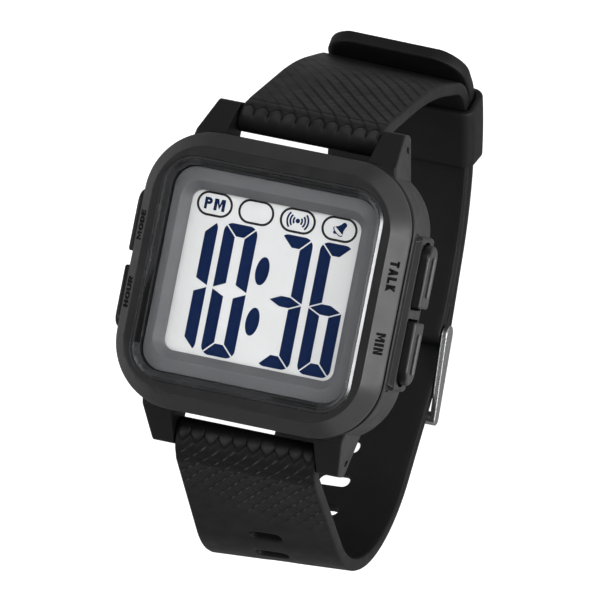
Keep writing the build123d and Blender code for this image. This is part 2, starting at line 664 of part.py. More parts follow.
# Buttons, made once for the upper right and mirrored to the other three places
with BuildPart() as button:
    with BuildSketch(Plane.YZ.offset(CAP_LOW)):
        with Locations((0, BUTTON_Z)):
            SlotOverall(2 * (RECESS_HALF - CAP_GAP), CAP_H)
        with Locations((-RECESS_HALF, BUTTON_Z)):
            Rectangle(2 * RECESS_HALF + RIB_W + 2 * CAP_GAP, 2 * CAP_H, mode=Mode.SUBTRACT)
    extrude(amount=CAP_T)
    fillet(button.faces().sort_by(Axis.X)[-1].edges(), radius=CAP_EDGE)
    with BuildSketch(Plane.YZ.offset(CAP_TOP)):
        with Locations((BUTTON_Y, BUTTON_Z)):
            SlotOverall(BAR_LEN, BAR_W)
    extrude(amount=BAR_H)
    rod(BUTTON_Y, BUTTON_Z, SPRING_R + 2 * SPRING_WIRE_R, CAP_LOW, CAP_LOW + SPRING_POCKET, Mode.SUBTRACT)
    rod(BUTTON_Y, BUTTON_Z, STEM_R, STEM_END, CAP_LOW + SPRING_POCKET)
    with BuildSketch(Plane.YZ.offset(CLIP_X - FIT)):
        with Locations((BUTTON_Y, BUTTON_Z)):
            Circle(2 * STEM_R)
            Circle(CLIP_NECK_R, mode=Mode.SUBTRACT)
    extrude(amount=CLIP_T + 2 * FIT, mode=Mode.SUBTRACT)

with BuildPart() as clip:
    with BuildSketch(Plane.YZ.offset(CLIP_X)):
        with Locations((BUTTON_Y, BUTTON_Z)):
            Circle(CLIP_R)
            Circle(CLIP_NECK_R + FIT, mode=Mode.SUBTRACT)
        with Locations((BUTTON_Y, BUTTON_Z - CLIP_R)):
            Rectangle(2 * CLIP_NECK_R, 2 * CLIP_R, mode=Mode.SUBTRACT)
    extrude(amount=CLIP_T)

with BuildPart() as return_spring:
    add(
        coil(
            (RECESS_FLOOR, BUTTON_Y, BUTTON_Z),
            (1, 0, 0),
            SPRING_R,
            SPRING_WIRE_R,
            SPRING_TURNS,
            CAP_LOW + SPRING_POCKET - RECESS_FLOOR,
        )
    )

with BuildPart() as contact:
    leaf_x = STEM_END - BUTTON_TRAVEL - CONTACT_PLAY
    with BuildSketch(Plane.XZ.offset(-BUTTON_Y - CONTACT_W / 2)):
        with BuildLine():
            Polyline(
                (LCD_X / 2 - CONTACT_W, BOARD_LOW - CONTACT_T / 2),
                (leaf_x, BOARD_LOW - CONTACT_T / 2),
                (leaf_x, BUTTON_Z - STEM_R),
            )
        trace(line_width=CONTACT_T)
    extrude(amount=CONTACT_W)

PLACES = {
    "talk": (),
    "min": (Plane.XZ,),
    "mode": (Plane.YZ,),
    "hour": (Plane.XZ, Plane.YZ),
}


def placed(blank, mirrors):
    """A copy of the upper right piece, mirrored to its place."""
    for plane in mirrors:
        blank = mirror(blank, about=plane, mode=Mode.PRIVATE)
    return blank


with BuildPart() as button_contacts:
    for mirrors in PLACES.values():
        add(placed(contact.part, mirrors))
save(button_contacts.part, "button_contacts")

for place, mirrors in PLACES.items():
    with BuildPart() as placed_button:
        add(placed(button.part, mirrors))
    save(placed_button.part, f"button_{place}")
    with BuildPart() as placed_clip:
        add(placed(clip.part, mirrors))
    save(placed_clip.part, f"clip_{place}")
    with BuildPart() as placed_spring:
        add(placed(return_spring.part, mirrors))
    save(placed_spring.part, f"return_spring_{place}")

# Strap bars: a tube with a sprung tip at each end
bar_half = STRAP_W / 2 - FIT
piston_r = BAR_R - BAR_WALL - RUN
piston_out = bar_half - BAR_END_T - FIT
tip_end = LUG_GAP / 2 + TIP_BITE
for bar_name, bar_y in (("top", BAR_Y), ("bottom", -BAR_Y)):
    with BuildPart() as spring_bar:
        rod(bar_y, BAR_Z, BAR_R, -bar_half, bar_half)
        rod(bar_y, BAR_Z, TIP_R + RUN, -bar_half, bar_half, Mode.SUBTRACT)
        rod(bar_y, BAR_Z, BAR_R - BAR_WALL, BAR_END_T - bar_half, bar_half - BAR_END_T, Mode.SUBTRACT)
    save(spring_bar.part, f"spring_bar_{bar_name}")
    for side_name, side in (("right", 1), ("left", -1)):
        with BuildPart() as bar_tip:
            rod(bar_y, BAR_Z, piston_r, side * (piston_out - PISTON_LEN), side * piston_out)
            rod(bar_y, BAR_Z, TIP_R, side * piston_out, side * tip_end)
            fillet(bar_tip.faces().sort_by(Axis.X)[-1 if side > 0 else 0].edges(), radius=TIP_R / 3)
        save(bar_tip.part, f"bar_tip_{bar_name}_{side_name}")
    with BuildPart() as bar_spring:
        add(
            coil(
                (PISTON_LEN - piston_out, bar_y, BAR_Z),
                (1, 0, 0),
                piston_r - BAR_SPRING_WIRE_R - RUN,
                BAR_SPRING_WIRE_R,
                BAR_SPRING_TURNS,
                2 * (piston_out - PISTON_LEN),
            )
        )
    save(bar_spring.part, f"bar_spring_{bar_name}")

# Strap halves: mid-lines of straight runs and arcs in the plane of the loop
short_r = LOOP_R - (LAYER_GAP + STRAP_T) / 2
long_r = LOOP_R + (LAYER_GAP + STRAP_T) / 2


def on_arc(radius, angle):
    """A point of the loop's arc, by its angle from the lowest point."""
    return (LOOP_Y + radius * sin(radians(angle)), LOOP_Z - radius * cos(radians(angle)))


def along(point, angle, run):
    """A point at a distance from another, in the arc's direction at an angle."""
    return (point[0] + run * cos(radians(angle)), point[1] + run * sin(radians(angle)))


hump = along(on_arc(long_r, TAIL_FROM), TAIL_FROM, -HUMP_RUN)
tail_half = (TAIL_TO - TAIL_FROM) / 2
tail_bend = along(on_arc(long_r, TAIL_TO), TAIL_TO, TAIL_STEP)
tail_tip = along(tail_bend, TAIL_ANGLE, TAIL_RUN)
long_shoulder = (-BAR_Y - LONG_SHOULDER[0], BAR_Z - LONG_SHOULDER[1])
long_corner = (hump[0] + LONG_CORNER[0], hump[1] + LONG_CORNER[1])
long_radii = (SHOULDER_R, LONG_CORNER_R, HUMP_R, long_r, TAIL_BEND_R)
buckle_z = LOOP_Z - short_r - BUCKLE_DROP
short_shoulder = (BAR_Y + SHORT_SHOULDER[0], BAR_Z - SHORT_SHOULDER[1])
short_bend = along(on_arc(short_r, SHORT_TO), SHORT_TO, SHORT_RUN)
short_rise = (short_bend[0] + SHORT_RISE[0], short_bend[1] + SHORT_RISE[1])
short_radii = (short_r, SHORT_BEND_R, SHORT_RISE_R, SHOULDER_R)


def short_points(side):
    """Corners of the short half's mid-line at the left edge, the middle or the right edge."""
    return (
        (BUCKLE_Y, LOOP_Z - short_r),
        on_arc(short_r / cos(radians(SHORT_TO / 2)), SHORT_TO / 2),
        along(short_bend, SHORT_TO, -SHORT_TWIST * side),
        short_rise,
        short_shoulder,
        (BAR_Y, BAR_Z),
    )


def long_points(side):
    """Corners of the long half's mid-line at the left edge, the middle or the right edge."""
    return (
        (-BAR_Y, BAR_Z),
        long_shoulder,
        (long_corner[0] + LONG_TWIST * side, long_corner[1]),
        hump,
        on_arc(long_r / cos(radians(tail_half)), TAIL_FROM + tail_half),
        tail_bend,
        along(tail_bend, TAIL_ANGLE, TAIL_RUN - TAIL_SKEW * side),
    )


def beside(points, radii, offset):
    """Corners and radii of the line that runs beside a mid-line at a distance."""
    steps = [Vector(*b) - Vector(*a) for a, b in zip(points, points[1:])]
    normals = [Vector(-step.Y, step.X).normalized() for step in steps]
    corners = [Vector(*points[0]) + normals[0] * offset]
    bends = []
    for point, before, after, radius in zip(points[1:], normals, normals[1:], radii):
        middle = (before + after).normalized()
        corners.append(Vector(*point) + middle * (offset / middle.dot(after)))
        left_turn = before.X * after.Y - before.Y * after.X > 0
        bends.append(radius - offset if left_turn else radius + offset)
    corners.append(Vector(*points[-1]) + normals[-1] * offset)
    return corners, bends


def strap_side(points, radii, x):
    """Side view of a strap of even thickness along a mid-line."""
    inner, inner_bends = beside(points, radii, STRAP_T / 2)
    outer, outer_bends = beside(points, radii, -STRAP_T / 2)
    with BuildSketch(Plane.YZ.offset(x)) as side_view:
        with BuildLine():
            near = FilletPolyline(*inner, radius=inner_bends)
            far = FilletPolyline(*outer, radius=outer_bends)
            Line(near @ 0, far @ 0)
            Line(near @ 1, far @ 1)
        make_face()
    return side_view.sketch


long_line = FilletPolyline(*long_points(0), radius=long_radii)
to_hump = FilletPolyline(*long_points(0)[:4], radius=long_radii[:2])
tongue_reach = to_hump.length - TONGUE_BACK


def slot_frame(index):
    """The place of a cross slot and the strap's direction there, both in the loop's plane."""
    reach = tongue_reach + (index - TONGUE_SLOT) * SLOT_PITCH
    place = long_line.position_at(reach, position_mode=PositionMode.LENGTH)
    heading = long_line.tangent_at(reach, position_mode=PositionMode.LENGTH)
    return place, heading


with BuildPart() as strap_long:
    left_side = strap_side(long_points(-1), long_radii, -STRAP_W / 2)
    right_side = strap_side(long_points(1), long_radii, STRAP_W / 2)
    loft([left_side, right_side], ruled=True)
    with BuildSketch(Plane.YZ):
        with Locations((-BAR_Y, BAR_Z)):
            Circle(BAR_R + BAR_SLEEVE)
        with Locations(long_shoulder):
            Circle(STRAP_T / 2)
        make_hull()
    extrude(amount=STRAP_W / 2, both=True)
    rod(-BAR_Y, BAR_Z, BAR_R + RUN, -STRAP_W / 2, STRAP_W / 2, Mode.SUBTRACT)
    tip_face = strap_long.faces().sort_by_distance((0, *tail_tip))[0]
    fillet(tip_face.edges().sort_by(SortBy.LENGTH)[:2], radius=TAIL_CORNER_R)
    for index in range(SLOT_COUNT):
        place, heading = slot_frame(index)
        slot_plane = Plane((0, place.X, place.Y), x_dir=(1, 0, 0), z_dir=(0, -heading.Y, heading.X))
        with BuildSketch(slot_plane):
            SlotOverall(SLOT_LEN, SLOT_W)
        extrude(amount=STRAP_T, both=True, mode=Mode.SUBTRACT)
save(strap_long.part, "strap_long")

tongue_notch = TONGUE_W + 4 * SIDE_PLAY
with BuildPart() as strap_short:
    left_side = strap_side(short_points(-1), short_radii, -STRAP_W / 2)
    right_side = strap_side(short_points(1), short_radii, STRAP_W / 2)
    loft([left_side, right_side], ruled=True)
    with BuildSketch(Plane.YZ):
        with Locations((BAR_Y, BAR_Z)):
            Circle(BAR_R + BAR_SLEEVE)
        with Locations(short_shoulder):
            Circle(STRAP_T / 2)
        make_hull()
    extrude(amount=STRAP_W / 2, both=True)
    with BuildSketch(Plane.YZ):
        with Locations((BUCKLE_Y, buckle_z)):
            Circle(BUCKLE_BAR_R + BUCKLE_SLEEVE)
        with Locations((BUCKLE_Y + 3 * BUCKLE_SLEEVE, LOOP_Z - short_r)):
            Circle(STRAP_T / 2)
        make_hull()
    extrude(amount=STRAP_W / 2, both=True)
    rod(BAR_Y, BAR_Z, BAR_R + RUN, -STRAP_W / 2, STRAP_W / 2, Mode.SUBTRACT)
    rod(BUCKLE_Y, buckle_z, BUCKLE_BAR_R + RUN, -STRAP_W / 2, STRAP_W / 2, Mode.SUBTRACT)
    notch_reach = BUCKLE_BAR_R + BUCKLE_SLEEVE + SIDE_PLAY
    block(
        0,
        BUCKLE_Y,
        buckle_z - notch_reach,
        tongue_notch,
        2 * notch_reach,
        2 * notch_reach,
        Mode.SUBTRACT,
    )
save(strap_short.part, "strap_short")

# Keeper: a rubber loop round both layers, curved like them
keeper_low = short_r - STRAP_T / 2 - KEEPER_IN_PLAY
keeper_high = long_r + STRAP_T / 2 + KEEPER_OUT_PLAY
keeper_half = degrees(KEEPER_LEN / 2 / LOOP_R)


def arc_block(inner, outer, half, width, mode=Mode.ADD):
    """A block of the loop's arc about the keeper's place."""
    start = KEEPER_AT - half - 90
    with BuildSketch(Plane.YZ) as side_view:
        with BuildLine():
            high = CenterArc((LOOP_Y, LOOP_Z), outer, start, 2 * half)
            low = CenterArc((LOOP_Y, LOOP_Z), inner, start, 2 * half)
            Line(high @ 0, low @ 0)
            Line(high @ 1, low @ 1)
        make_face()
    extrude(side_view.sketch, amount=width / 2, both=True, mode=mode)


with BuildPart() as keeper:
    keeper_x = STRAP_W + 2 * SIDE_PLAY
    arc_block(keeper_low - KEEPER_WALL, keeper_high + KEEPER_WALL, keeper_half, keeper_x + 2 * KEEPER_WALL)
    fillet(keeper.edges().filter_by(GeomType.CIRCLE), radius=KEEPER_EDGE)
    arc_block(keeper_low, keeper_high, 1.5 * keeper_half, keeper_x, Mode.SUBTRACT)
save(keeper.part, "keeper")

# Buckle: bar, frame and tongue
arm_in = STRAP_W / 2 + SIDE_PLAY
cross_y = BUCKLE_Y - BUCKLE_LEN
run_slope = LONG_CORNER[1] / LONG_CORNER[0]
run_tilt = atan(run_slope)
run_face = hump[1] + (cross_y - hump[0]) * run_slope - STRAP_T / 2 / cos(run_tilt)
cross_z = run_face - (CROSS_PLAY + CROSS_R) / cos(run_tilt)

with BuildPart() as buckle_bar:
    rod(BUCKLE_Y, buckle_z, BUCKLE_BAR_R, -arm_in - ARM_T / 2, arm_in + ARM_T / 2)
save(buckle_bar.part, "buckle_bar")

with BuildPart() as buckle_frame:
    for arm_x in (-arm_in - ARM_T, arm_in):
        with BuildSketch(Plane.YZ.offset(arm_x)):
            with Locations((BUCKLE_Y, buckle_z)):
                Circle(ARM_HUB_R)
            with Locations((cross_y, cross_z)):
                Circle(CROSS_R)
            make_hull()
        extrude(amount=ARM_T)
    fillet(buckle_frame.edges().filter_by(Axis.X, reverse=True), radius=ARM_T / 4)
    rod(cross_y, cross_z, CROSS_R, -arm_in - ARM_T / 2, arm_in + ARM_T / 2)
    rod(BUCKLE_Y, buckle_z, BUCKLE_BAR_R + RUN, -arm_in - ARM_T / 2 - FIT, arm_in + ARM_T / 2 + FIT, Mode.SUBTRACT)
save(buckle_frame.part, "buckle_frame")

crossing, heading = slot_frame(TONGUE_SLOT)
tongue_side = STRAP_T / 2 + TONGUE_RISE
tongue_in = (crossing.X - heading.Y * tongue_side, crossing.Y + heading.X * tongue_side)
tongue_out = (crossing.X + heading.Y * tongue_side, crossing.Y - heading.X * tongue_side)
rest_z = cross_z - CROSS_R - SIDE_PLAY - TONGUE_T / 2
tongue_tip = (
    cross_y - TONGUE_OVER,
    rest_z - TONGUE_OVER * (tongue_out[1] - rest_z) / (tongue_out[0] - cross_y),
)
with BuildPart() as buckle_tongue:
    with BuildSketch(Plane.YZ):
        with BuildLine():
            FilletPolyline(
                (BUCKLE_Y - BUCKLE_BAR_R - TONGUE_T / 2, buckle_z),
                tongue_in,
                tongue_out,
                tongue_tip,
                radius=TONGUE_BEND_R,
            )
        trace(line_width=TONGUE_T)
        with Locations((BUCKLE_Y, buckle_z)):
            Circle(TONGUE_LOOP_R)
        with Locations(tongue_tip):
            Circle(TONGUE_T / 2)
    extrude(amount=TONGUE_W / 2, both=True)
    rod(BUCKLE_Y, buckle_z, BUCKLE_BAR_R + RUN, -TONGUE_W / 2, TONGUE_W / 2, Mode.SUBTRACT)
save(buckle_tongue.part, "buckle_tongue")
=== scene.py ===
"""Looks of the talking wristwatch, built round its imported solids.

Shapes are in millimetres. Materials, floor and lamps are in metres.
"""

import json
import math
from collections import namedtuple
from math import cos, radians, sin, sqrt

import bmesh
import bpy
from mathutils import Matrix, Vector


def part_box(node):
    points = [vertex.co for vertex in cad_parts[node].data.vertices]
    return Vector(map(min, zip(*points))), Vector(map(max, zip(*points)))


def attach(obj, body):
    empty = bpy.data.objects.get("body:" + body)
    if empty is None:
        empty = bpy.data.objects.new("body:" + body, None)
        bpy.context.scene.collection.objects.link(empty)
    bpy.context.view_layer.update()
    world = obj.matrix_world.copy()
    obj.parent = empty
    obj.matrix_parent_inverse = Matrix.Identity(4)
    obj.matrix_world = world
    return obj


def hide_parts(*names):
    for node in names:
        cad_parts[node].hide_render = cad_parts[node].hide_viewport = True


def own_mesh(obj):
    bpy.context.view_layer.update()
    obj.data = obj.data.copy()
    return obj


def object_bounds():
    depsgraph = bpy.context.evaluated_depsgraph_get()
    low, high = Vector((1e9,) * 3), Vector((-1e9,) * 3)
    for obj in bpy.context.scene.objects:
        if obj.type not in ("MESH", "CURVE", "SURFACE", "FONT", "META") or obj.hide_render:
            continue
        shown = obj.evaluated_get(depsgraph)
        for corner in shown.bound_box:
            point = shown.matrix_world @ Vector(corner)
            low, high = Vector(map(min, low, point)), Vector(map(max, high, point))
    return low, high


MM = 0.001
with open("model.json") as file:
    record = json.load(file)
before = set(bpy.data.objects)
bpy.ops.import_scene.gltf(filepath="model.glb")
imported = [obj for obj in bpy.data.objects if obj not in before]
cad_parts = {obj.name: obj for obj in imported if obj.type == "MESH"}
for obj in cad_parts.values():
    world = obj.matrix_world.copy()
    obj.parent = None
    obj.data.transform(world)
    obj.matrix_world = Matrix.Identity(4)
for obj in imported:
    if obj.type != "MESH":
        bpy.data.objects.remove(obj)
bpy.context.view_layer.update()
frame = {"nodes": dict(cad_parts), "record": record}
nodes = frame["nodes"]


# Materials

def feed(tree, node, inputs):
    """Sets a node's inputs, and links those whose value is another node's output."""
    for key, value in inputs.items():
        if isinstance(value, bpy.types.NodeSocket):
            tree.links.new(value, node.inputs[key])
        else:
            node.inputs[key].default_value = value


def add_node(tree, kind, inputs=None, **settings):
    node = tree.nodes.new("ShaderNode" + kind)
    for key, value in settings.items():
        setattr(node, key, value)
    feed(tree, node, inputs or {})
    return node


def tree_of(name):
    """A new material with its node tree and its shader."""
    made = bpy.data.materials.new(name)
    made.use_nodes = True
    return made, made.node_tree, made.node_tree.nodes["Principled BSDF"]


def noise(tree, scale, detail=2.0, stretch=None):
    """Noise in the piece's own coordinates, with a scale per metre."""
    where = add_node(tree, "TexCoord").outputs["Object"]
    if stretch:
        where = add_node(tree, "Mapping", {"Vector": where, "Scale": stretch}).outputs["Vector"]
    made = add_node(tree, "TexNoise", {"Vector": where, "Scale": scale, "Detail": detail})
    return made.outputs["Fac"]


def ramp(tree, source, low, high, start=0.3, end=0.7):
    limits = {"Value": source, "From Min": start, "From Max": end, "To Min": low, "To Max": high}
    return add_node(tree, "MapRange", limits).outputs["Result"]


def two_tone(tree, source, dark, light):
    node = add_node(tree, "ValToRGB", {"Fac": source})
    first, last = node.color_ramp.elements
    first.position, first.color = 0.3, (*dark, 1)
    last.position, last.color = 0.7, (*light, 1)
    return node.outputs["Color"]


def bump(tree, source, distance, strength):
    inputs = {"Height": source, "Distance": distance, "Strength": strength}
    return add_node(tree, "Bump", inputs).outputs["Normal"]


def mix_in(tree, shader, other, share):
    """Shows another shader beside a material's own, by its share."""
    mix = add_node(tree, "MixShader", {"Fac": share, 1: shader.outputs[0], 2: other.outputs[0]})
    feed(tree, tree.nodes["Material Output"], {"Surface": mix.outputs[0]})


PATCH, PATCH_GLOSS = 160, 160 * 2.3  # scales of the slow changes of colour and gloss
GRAIN_STRENGTH = 0.35
RUBBER_GRAIN = 3800


def grained(name, dark, light, rough, specular=0.4, grain=5200, depth=0.00001, metal=0.0):
    """Moulded or cast stuff with a fine grain, slow colour variation and uneven gloss."""
    made, tree, shader = tree_of(name)
    feed(tree, shader, {
        "Base Color": two_tone(tree, noise(tree, PATCH, 4.0), dark, light),
        "Roughness": ramp(tree, noise(tree, PATCH_GLOSS, 3.0), rough - 0.05, rough + 0.05),
        "Normal": bump(tree, noise(tree, grain), depth, GRAIN_STRENGTH),
        "Specular IOR Level": specular,
        "Metallic": metal,
    })
    return made


def brushed(name, dark, light, rough, stretch, grain=900, strength=0.25):
    """Metal with fine straight scratches along one direction."""
    made, tree, shader = tree_of(name)
    streaks = noise(tree, grain, 3.0, stretch)
    feed(tree, shader, {
        "Base Color": two_tone(tree, streaks, dark, light),
        "Roughness": ramp(tree, streaks, rough - 0.07, rough + 0.07),
        "Normal": bump(tree, streaks, 0.000006, strength),
        "Metallic": 1.0,
    })
    return made


def moulded_rubber():
    """Matt black rubber with random colour patches, plus painted light and shade from the relief: painted
    highlights on scale tops and on the long half's crests, painted shade in grooves and along the short
    half's crests.
    """
    made, tree, shader = tree_of("strap_black")
    painted_shading = add_node(tree, "Attribute", attribute_name="painted_shading").outputs["Fac"]
    patches = ramp(tree, noise(tree, 170, 4.0), 0.38, 0.5)
    # painted light and shade of the relief moves the random patches lighter or darker
    blend = add_node(tree, "Math", {0: painted_shading, 1: 0.5, 2: patches}, operation="MULTIPLY_ADD")
    colours = add_node(tree, "ValToRGB", {"Fac": blend.outputs[0]})
    stops = colours.color_ramp.elements
    stops[0].position, stops[0].color = 0.0, (0.0022, 0.0022, 0.0024, 1)
    stops[1].position, stops[1].color = 1.0, (0.1, 0.1, 0.103, 1)
    for position, level in ((0.36, 0.0065), (0.52, 0.0085)):
        stops.new(position).color = (level, level, level * 1.08, 1)
    feed(tree, shader, {
        "Base Color": colours.outputs["Color"],
        "Roughness": ramp(tree, noise(tree, 420, 3.0), 0.45, 0.55),
        "Normal": bump(tree, noise(tree, RUBBER_GRAIN), 0.00001, 0.3),
        "Specular IOR Level": 0.16,
    })
    return made


def clear_plastic():
    """Polished acrylic that lets lamps through to the display."""
    made, tree, shader = tree_of("clear_acrylic")
    feed(tree, shader, {
        "Transmission Weight": 1.0,
        "IOR": 1.49,
        "Specular Tint": (0.12, 0.12, 0.12, 1),
        "Base Color": (0.97, 0.98, 0.98, 1),
        "Roughness": ramp(tree, noise(tree, 240, 3.0), 0.0, 0.03),
    })
    shadow = add_node(tree, "LightPath").outputs["Is Shadow Ray"]
    mix_in(tree, shader, add_node(tree, "BsdfTransparent"), shadow)
    return made


SMOOTH = 0.000002  # depth of the grain on glass and print
strap_black = moulded_rubber()
# a darker copy of the case's black plastic for the case body: painted shade on its sides
case_body_painted_shade = grained("case_body_painted_shade", (0.005, 0.005, 0.0056), (0.0066, 0.0066, 0.0073), 0.4, 0.26)
keeper_black = grained(
    "keeper_black", (0.0085, 0.0085, 0.009), (0.011, 0.011, 0.0115), 0.5, 0.15, RUBBER_GRAIN)
# lighter grey of the buttons' raised lines: painted highlight
button_line_painted_highlight = grained("button_line_painted_highlight", (0.066, 0.066, 0.069), (0.082, 0.082, 0.085), 0.3, 0.5)
# dark grey of the band under the lens's rim: painted shade
recess_painted_shade = grained("recess_painted_shade", (0.02, 0.02, 0.022), (0.025, 0.025, 0.027), 0.5, 0.1)
edge_polish = grained("edge_polish", (0.1, 0.1, 0.104), (0.13, 0.13, 0.134), 0.26, depth=SMOOTH, metal=1.0)
segment_navy = grained(
    "segment_navy", (0.0018, 0.0085, 0.04), (0.0024, 0.0105, 0.046), 0.5, 0.04, depth=SMOOTH)
outline_black = grained("outline_black", (0.004, 0.004, 0.005), (0.006, 0.006, 0.007), 0.5, 0.2, depth=SMOOTH)
print_black = grained("print_black", (0.002, 0.002, 0.002), (0.004, 0.004, 0.004), 0.75, 0.08, depth=0.000004)

slot_looks = {
    "case_plastic": grained("case_black", (0.0095, 0.0095, 0.0105), (0.012, 0.012, 0.0132), 0.34),
    "button_plastic": grained("button_black", (0.0065, 0.0065, 0.007), (0.0085, 0.0085, 0.009), 0.34, 0.34),
    "clear_plastic": clear_plastic(),
    "frame_plastic": grained(
        "frame_grey", (0.08, 0.08, 0.086), (0.093, 0.093, 0.099), 0.42, 0.25, depth=0.000006),
    "display_glass": grained(
        "display_pale", (0.545, 0.545, 0.548), (0.575, 0.575, 0.578), 0.5, 0.1, depth=SMOOTH),
    "silver_sheet": grained("silver_sheet", (0.72, 0.72, 0.72), (0.8, 0.8, 0.8), 0.4, metal=0.6),
    "inner_plastic": grained("inner_white", (0.55, 0.55, 0.52), (0.62, 0.62, 0.6), 0.5),
    "strap_rubber": strap_black,
    "gasket_rubber": grained("gasket_black", (0.03, 0.03, 0.03), (0.045, 0.045, 0.045), 0.6, 0.3),
    "board_green": grained("board_green", (0.012, 0.1, 0.04), (0.02, 0.15, 0.06), 0.35, grain=1800),
    "chip_resin": grained("resin_black", (0.01, 0.01, 0.01), (0.016, 0.016, 0.016), 0.25),
    "bright_steel": brushed("bright_steel", (0.56, 0.56, 0.57), (0.68, 0.68, 0.69), 0.24, (1, 14, 14)),
    "back_steel": brushed("back_steel", (0.48, 0.48, 0.49), (0.62, 0.62, 0.63), 0.3, (1, 26, 26)),
    "buckle_steel": brushed(
        "buckle_steel", (0.44, 0.44, 0.45), (0.54, 0.54, 0.55), 0.3, (14, 1, 14), 1600, 0.15),
    "speaker_brass": brushed("speaker_brass", (0.62, 0.45, 0.18), (0.75, 0.58, 0.27), 0.32, (1, 12, 12)),
    "speaker_ceramic": grained("speaker_ceramic", (0.66, 0.65, 0.6), (0.76, 0.75, 0.7), 0.4),
}
slot_of = {part["node"]: part["material_slot"] for part in frame["record"]["subparts"]}
for name, node in nodes.items():
    node.data.materials.clear()
    # the case body takes the darker copy of the case plastic, painted shade
    node.data.materials.append(case_body_painted_shade if name == "case_body" else slot_looks[slot_of[name]])

# Smooth shading for softened solids; weighted normals then keep their flats flat
even_faces = bpy.data.node_groups.new("even_faces", "GeometryNodeTree")
for way in ("INPUT", "OUTPUT"):
    even_faces.interface.new_socket("Geometry", in_out=way, socket_type="NodeSocketGeometry")
way_in = even_faces.nodes.new("NodeGroupInput")
way_out = even_faces.nodes.new("NodeGroupOutput")
shading = even_faces.nodes.new("GeometryNodeSetShadeSmooth")
even_faces.links.new(way_in.outputs[0], shading.inputs["Geometry"])
even_faces.links.new(shading.outputs["Geometry"], way_out.inputs[0])


def soften(name, width):
    """Rounds a solid's sharp edges a little."""
    node = nodes[name]
    weld = node.modifiers.new("weld", "WELD")
    weld.merge_threshold = 0.000002
    edge = node.modifiers.new("edge", "BEVEL")
    edge.width = width * MM
    edge.segments = 3
    edge.limit_method = "ANGLE"
    edge.angle_limit = radians(32.0)
    edge.use_clamp_overlap = False
    node.modifiers.new("smooth", "NODES").node_group = even_faces
    even = node.modifiers.new("even", "WEIGHTED_NORMAL")
    even.weight = 60


# Shapes

def add_object(name, data):
    made = bpy.data.objects.new(name, data)
    bpy.context.scene.collection.objects.link(made)
    return made


def finish_mesh(name, verts, faces, look, body="watch", smooth=True, sharp=None):
    """A mesh piece in millimetres that rides on a body."""
    mesh = bpy.data.meshes.new(name)
    mesh.from_pydata([tuple(c * MM for c in v) for v in verts], [], faces)
    mesh.validate()
    made = add_object(name, mesh)
    mesh.materials.append(look)
    if smooth:
        mesh.shade_smooth()
    if sharp is not None:
        mesh.set_sharp_from_angle(angle=radians(sharp))
    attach(made, body)
    return made


def store_painted_shading(piece, painted_shading_map):
    """Stores the relief's painted light and shade for each point, read by the strap's material."""
    layer = piece.data.attributes.new("painted_shading", "FLOAT", "POINT")
    for index, painted_shading in painted_shading_map.items():
        layer.data[index].value = painted_shading


# Strap: the same lines as the solids, with the moulded relief

BAR_Y, BAR_Z = 23.3, 2.3  # the strap bars' axes
STRAP_T, STRAP_W = 1.9, 21.9
HALF_T, HALF_W = STRAP_T / 2, STRAP_W / 2
LAYER_GAP = 0.05  # half the gap between the strap's two layers
LOOP_Y, LOOP_Z, LOOP_R = 3.6, -4.97, 43.6
LONG_R = LOOP_R + HALF_T + LAYER_GAP
SHORT_R = LOOP_R - HALF_T - LAYER_GAP
SLEEVE_R, BUCKLE_SLEEVE_R = 2.0, 1.6
LONG_TAPER, SHORT_TAPER, BUCKLE_TAPER = 2.9, math.hypot(2.0, 1.3), 2.55  # lengths of the sleeves' flanks
BUCKLE_Y, BUCKLE_DROP = -3.0, 0.1
TINY = 1e-9


def on_arc(radius, angle):
    turn = radians(angle)
    return (LOOP_Y + radius * sin(turn), LOOP_Z - radius * cos(turn))


def along(point, angle, run):
    turn = radians(angle)
    return (point[0] + run * cos(turn), point[1] + run * sin(turn))


def beyond(point, other, run):
    """A point past the end of a line."""
    step = (Vector(point) - Vector(other)).normalized() * run
    return (point[0] + step.x, point[1] + step.y)


bulge = along(on_arc(LONG_R, 7), 7, -12.6)
tail_bend = along(on_arc(LONG_R, 40), 40, 2.0)
long_shoulder = (-BAR_Y - LONG_TAPER, BAR_Z + 0.1)
long_radii = (3.0, 19.3, 14.0, LONG_R, 6.0)
short_bend = along(on_arc(SHORT_R, 38.5), 38.5, 5.4)
short_shoulder = (BAR_Y + 2.0, BAR_Z - 1.3)
short_radii = (SHORT_R, 8.6, 60.0, 3.0)


def long_points(side):
    """Corners of the long half's mid-line, at its left edge (-1), middle or right edge (1)."""
    return (
        beyond((-BAR_Y, BAR_Z), long_shoulder, SLEEVE_R),
        long_shoulder,
        (bulge[0] - 45.43 + 1.6 * side, bulge[1] + 13.37),
        bulge,
        on_arc(LONG_R / cos(radians(16.5)), 23.5),
        tail_bend,
        along(tail_bend, 62, 9.2 - 0.3 * side),
    )


def short_points(side):
    return (
        (BUCKLE_Y - BUCKLE_SLEEVE_R, LOOP_Z - SHORT_R),
        on_arc(SHORT_R / cos(radians(19.25)), 19.25),
        along(short_bend, 38.5, -0.45 * side),
        (short_bend[0] - 2.15, short_bend[1] + 17.35),
        short_shoulder,
        beyond((BAR_Y, BAR_Z), short_shoulder, SLEEVE_R),
    )


class Run:
    """A straight piece of a route."""

    def __init__(self, start, end):
        self.start, self.step = start, end - start
        self.length = self.step.length

    def at(self, share):
        """Place and direction; a piece without length has no direction."""
        if self.length < TINY:
            return self.start, Vector((0, 0))
        return self.start + self.step * share, self.step.normalized()


class Arc:
    """A curved piece of a route."""

    def __init__(self, centre, start, turn, radius):
        self.centre, self.arm, self.turn = centre, start - centre, turn
        self.length = abs(turn) * radius

    def at(self, share):
        turned = Matrix.Rotation(self.turn * share, 2) @ self.arm
        way = Vector((-turned.y, turned.x)) * math.copysign(1, self.turn)
        return self.centre + turned, way.normalized()


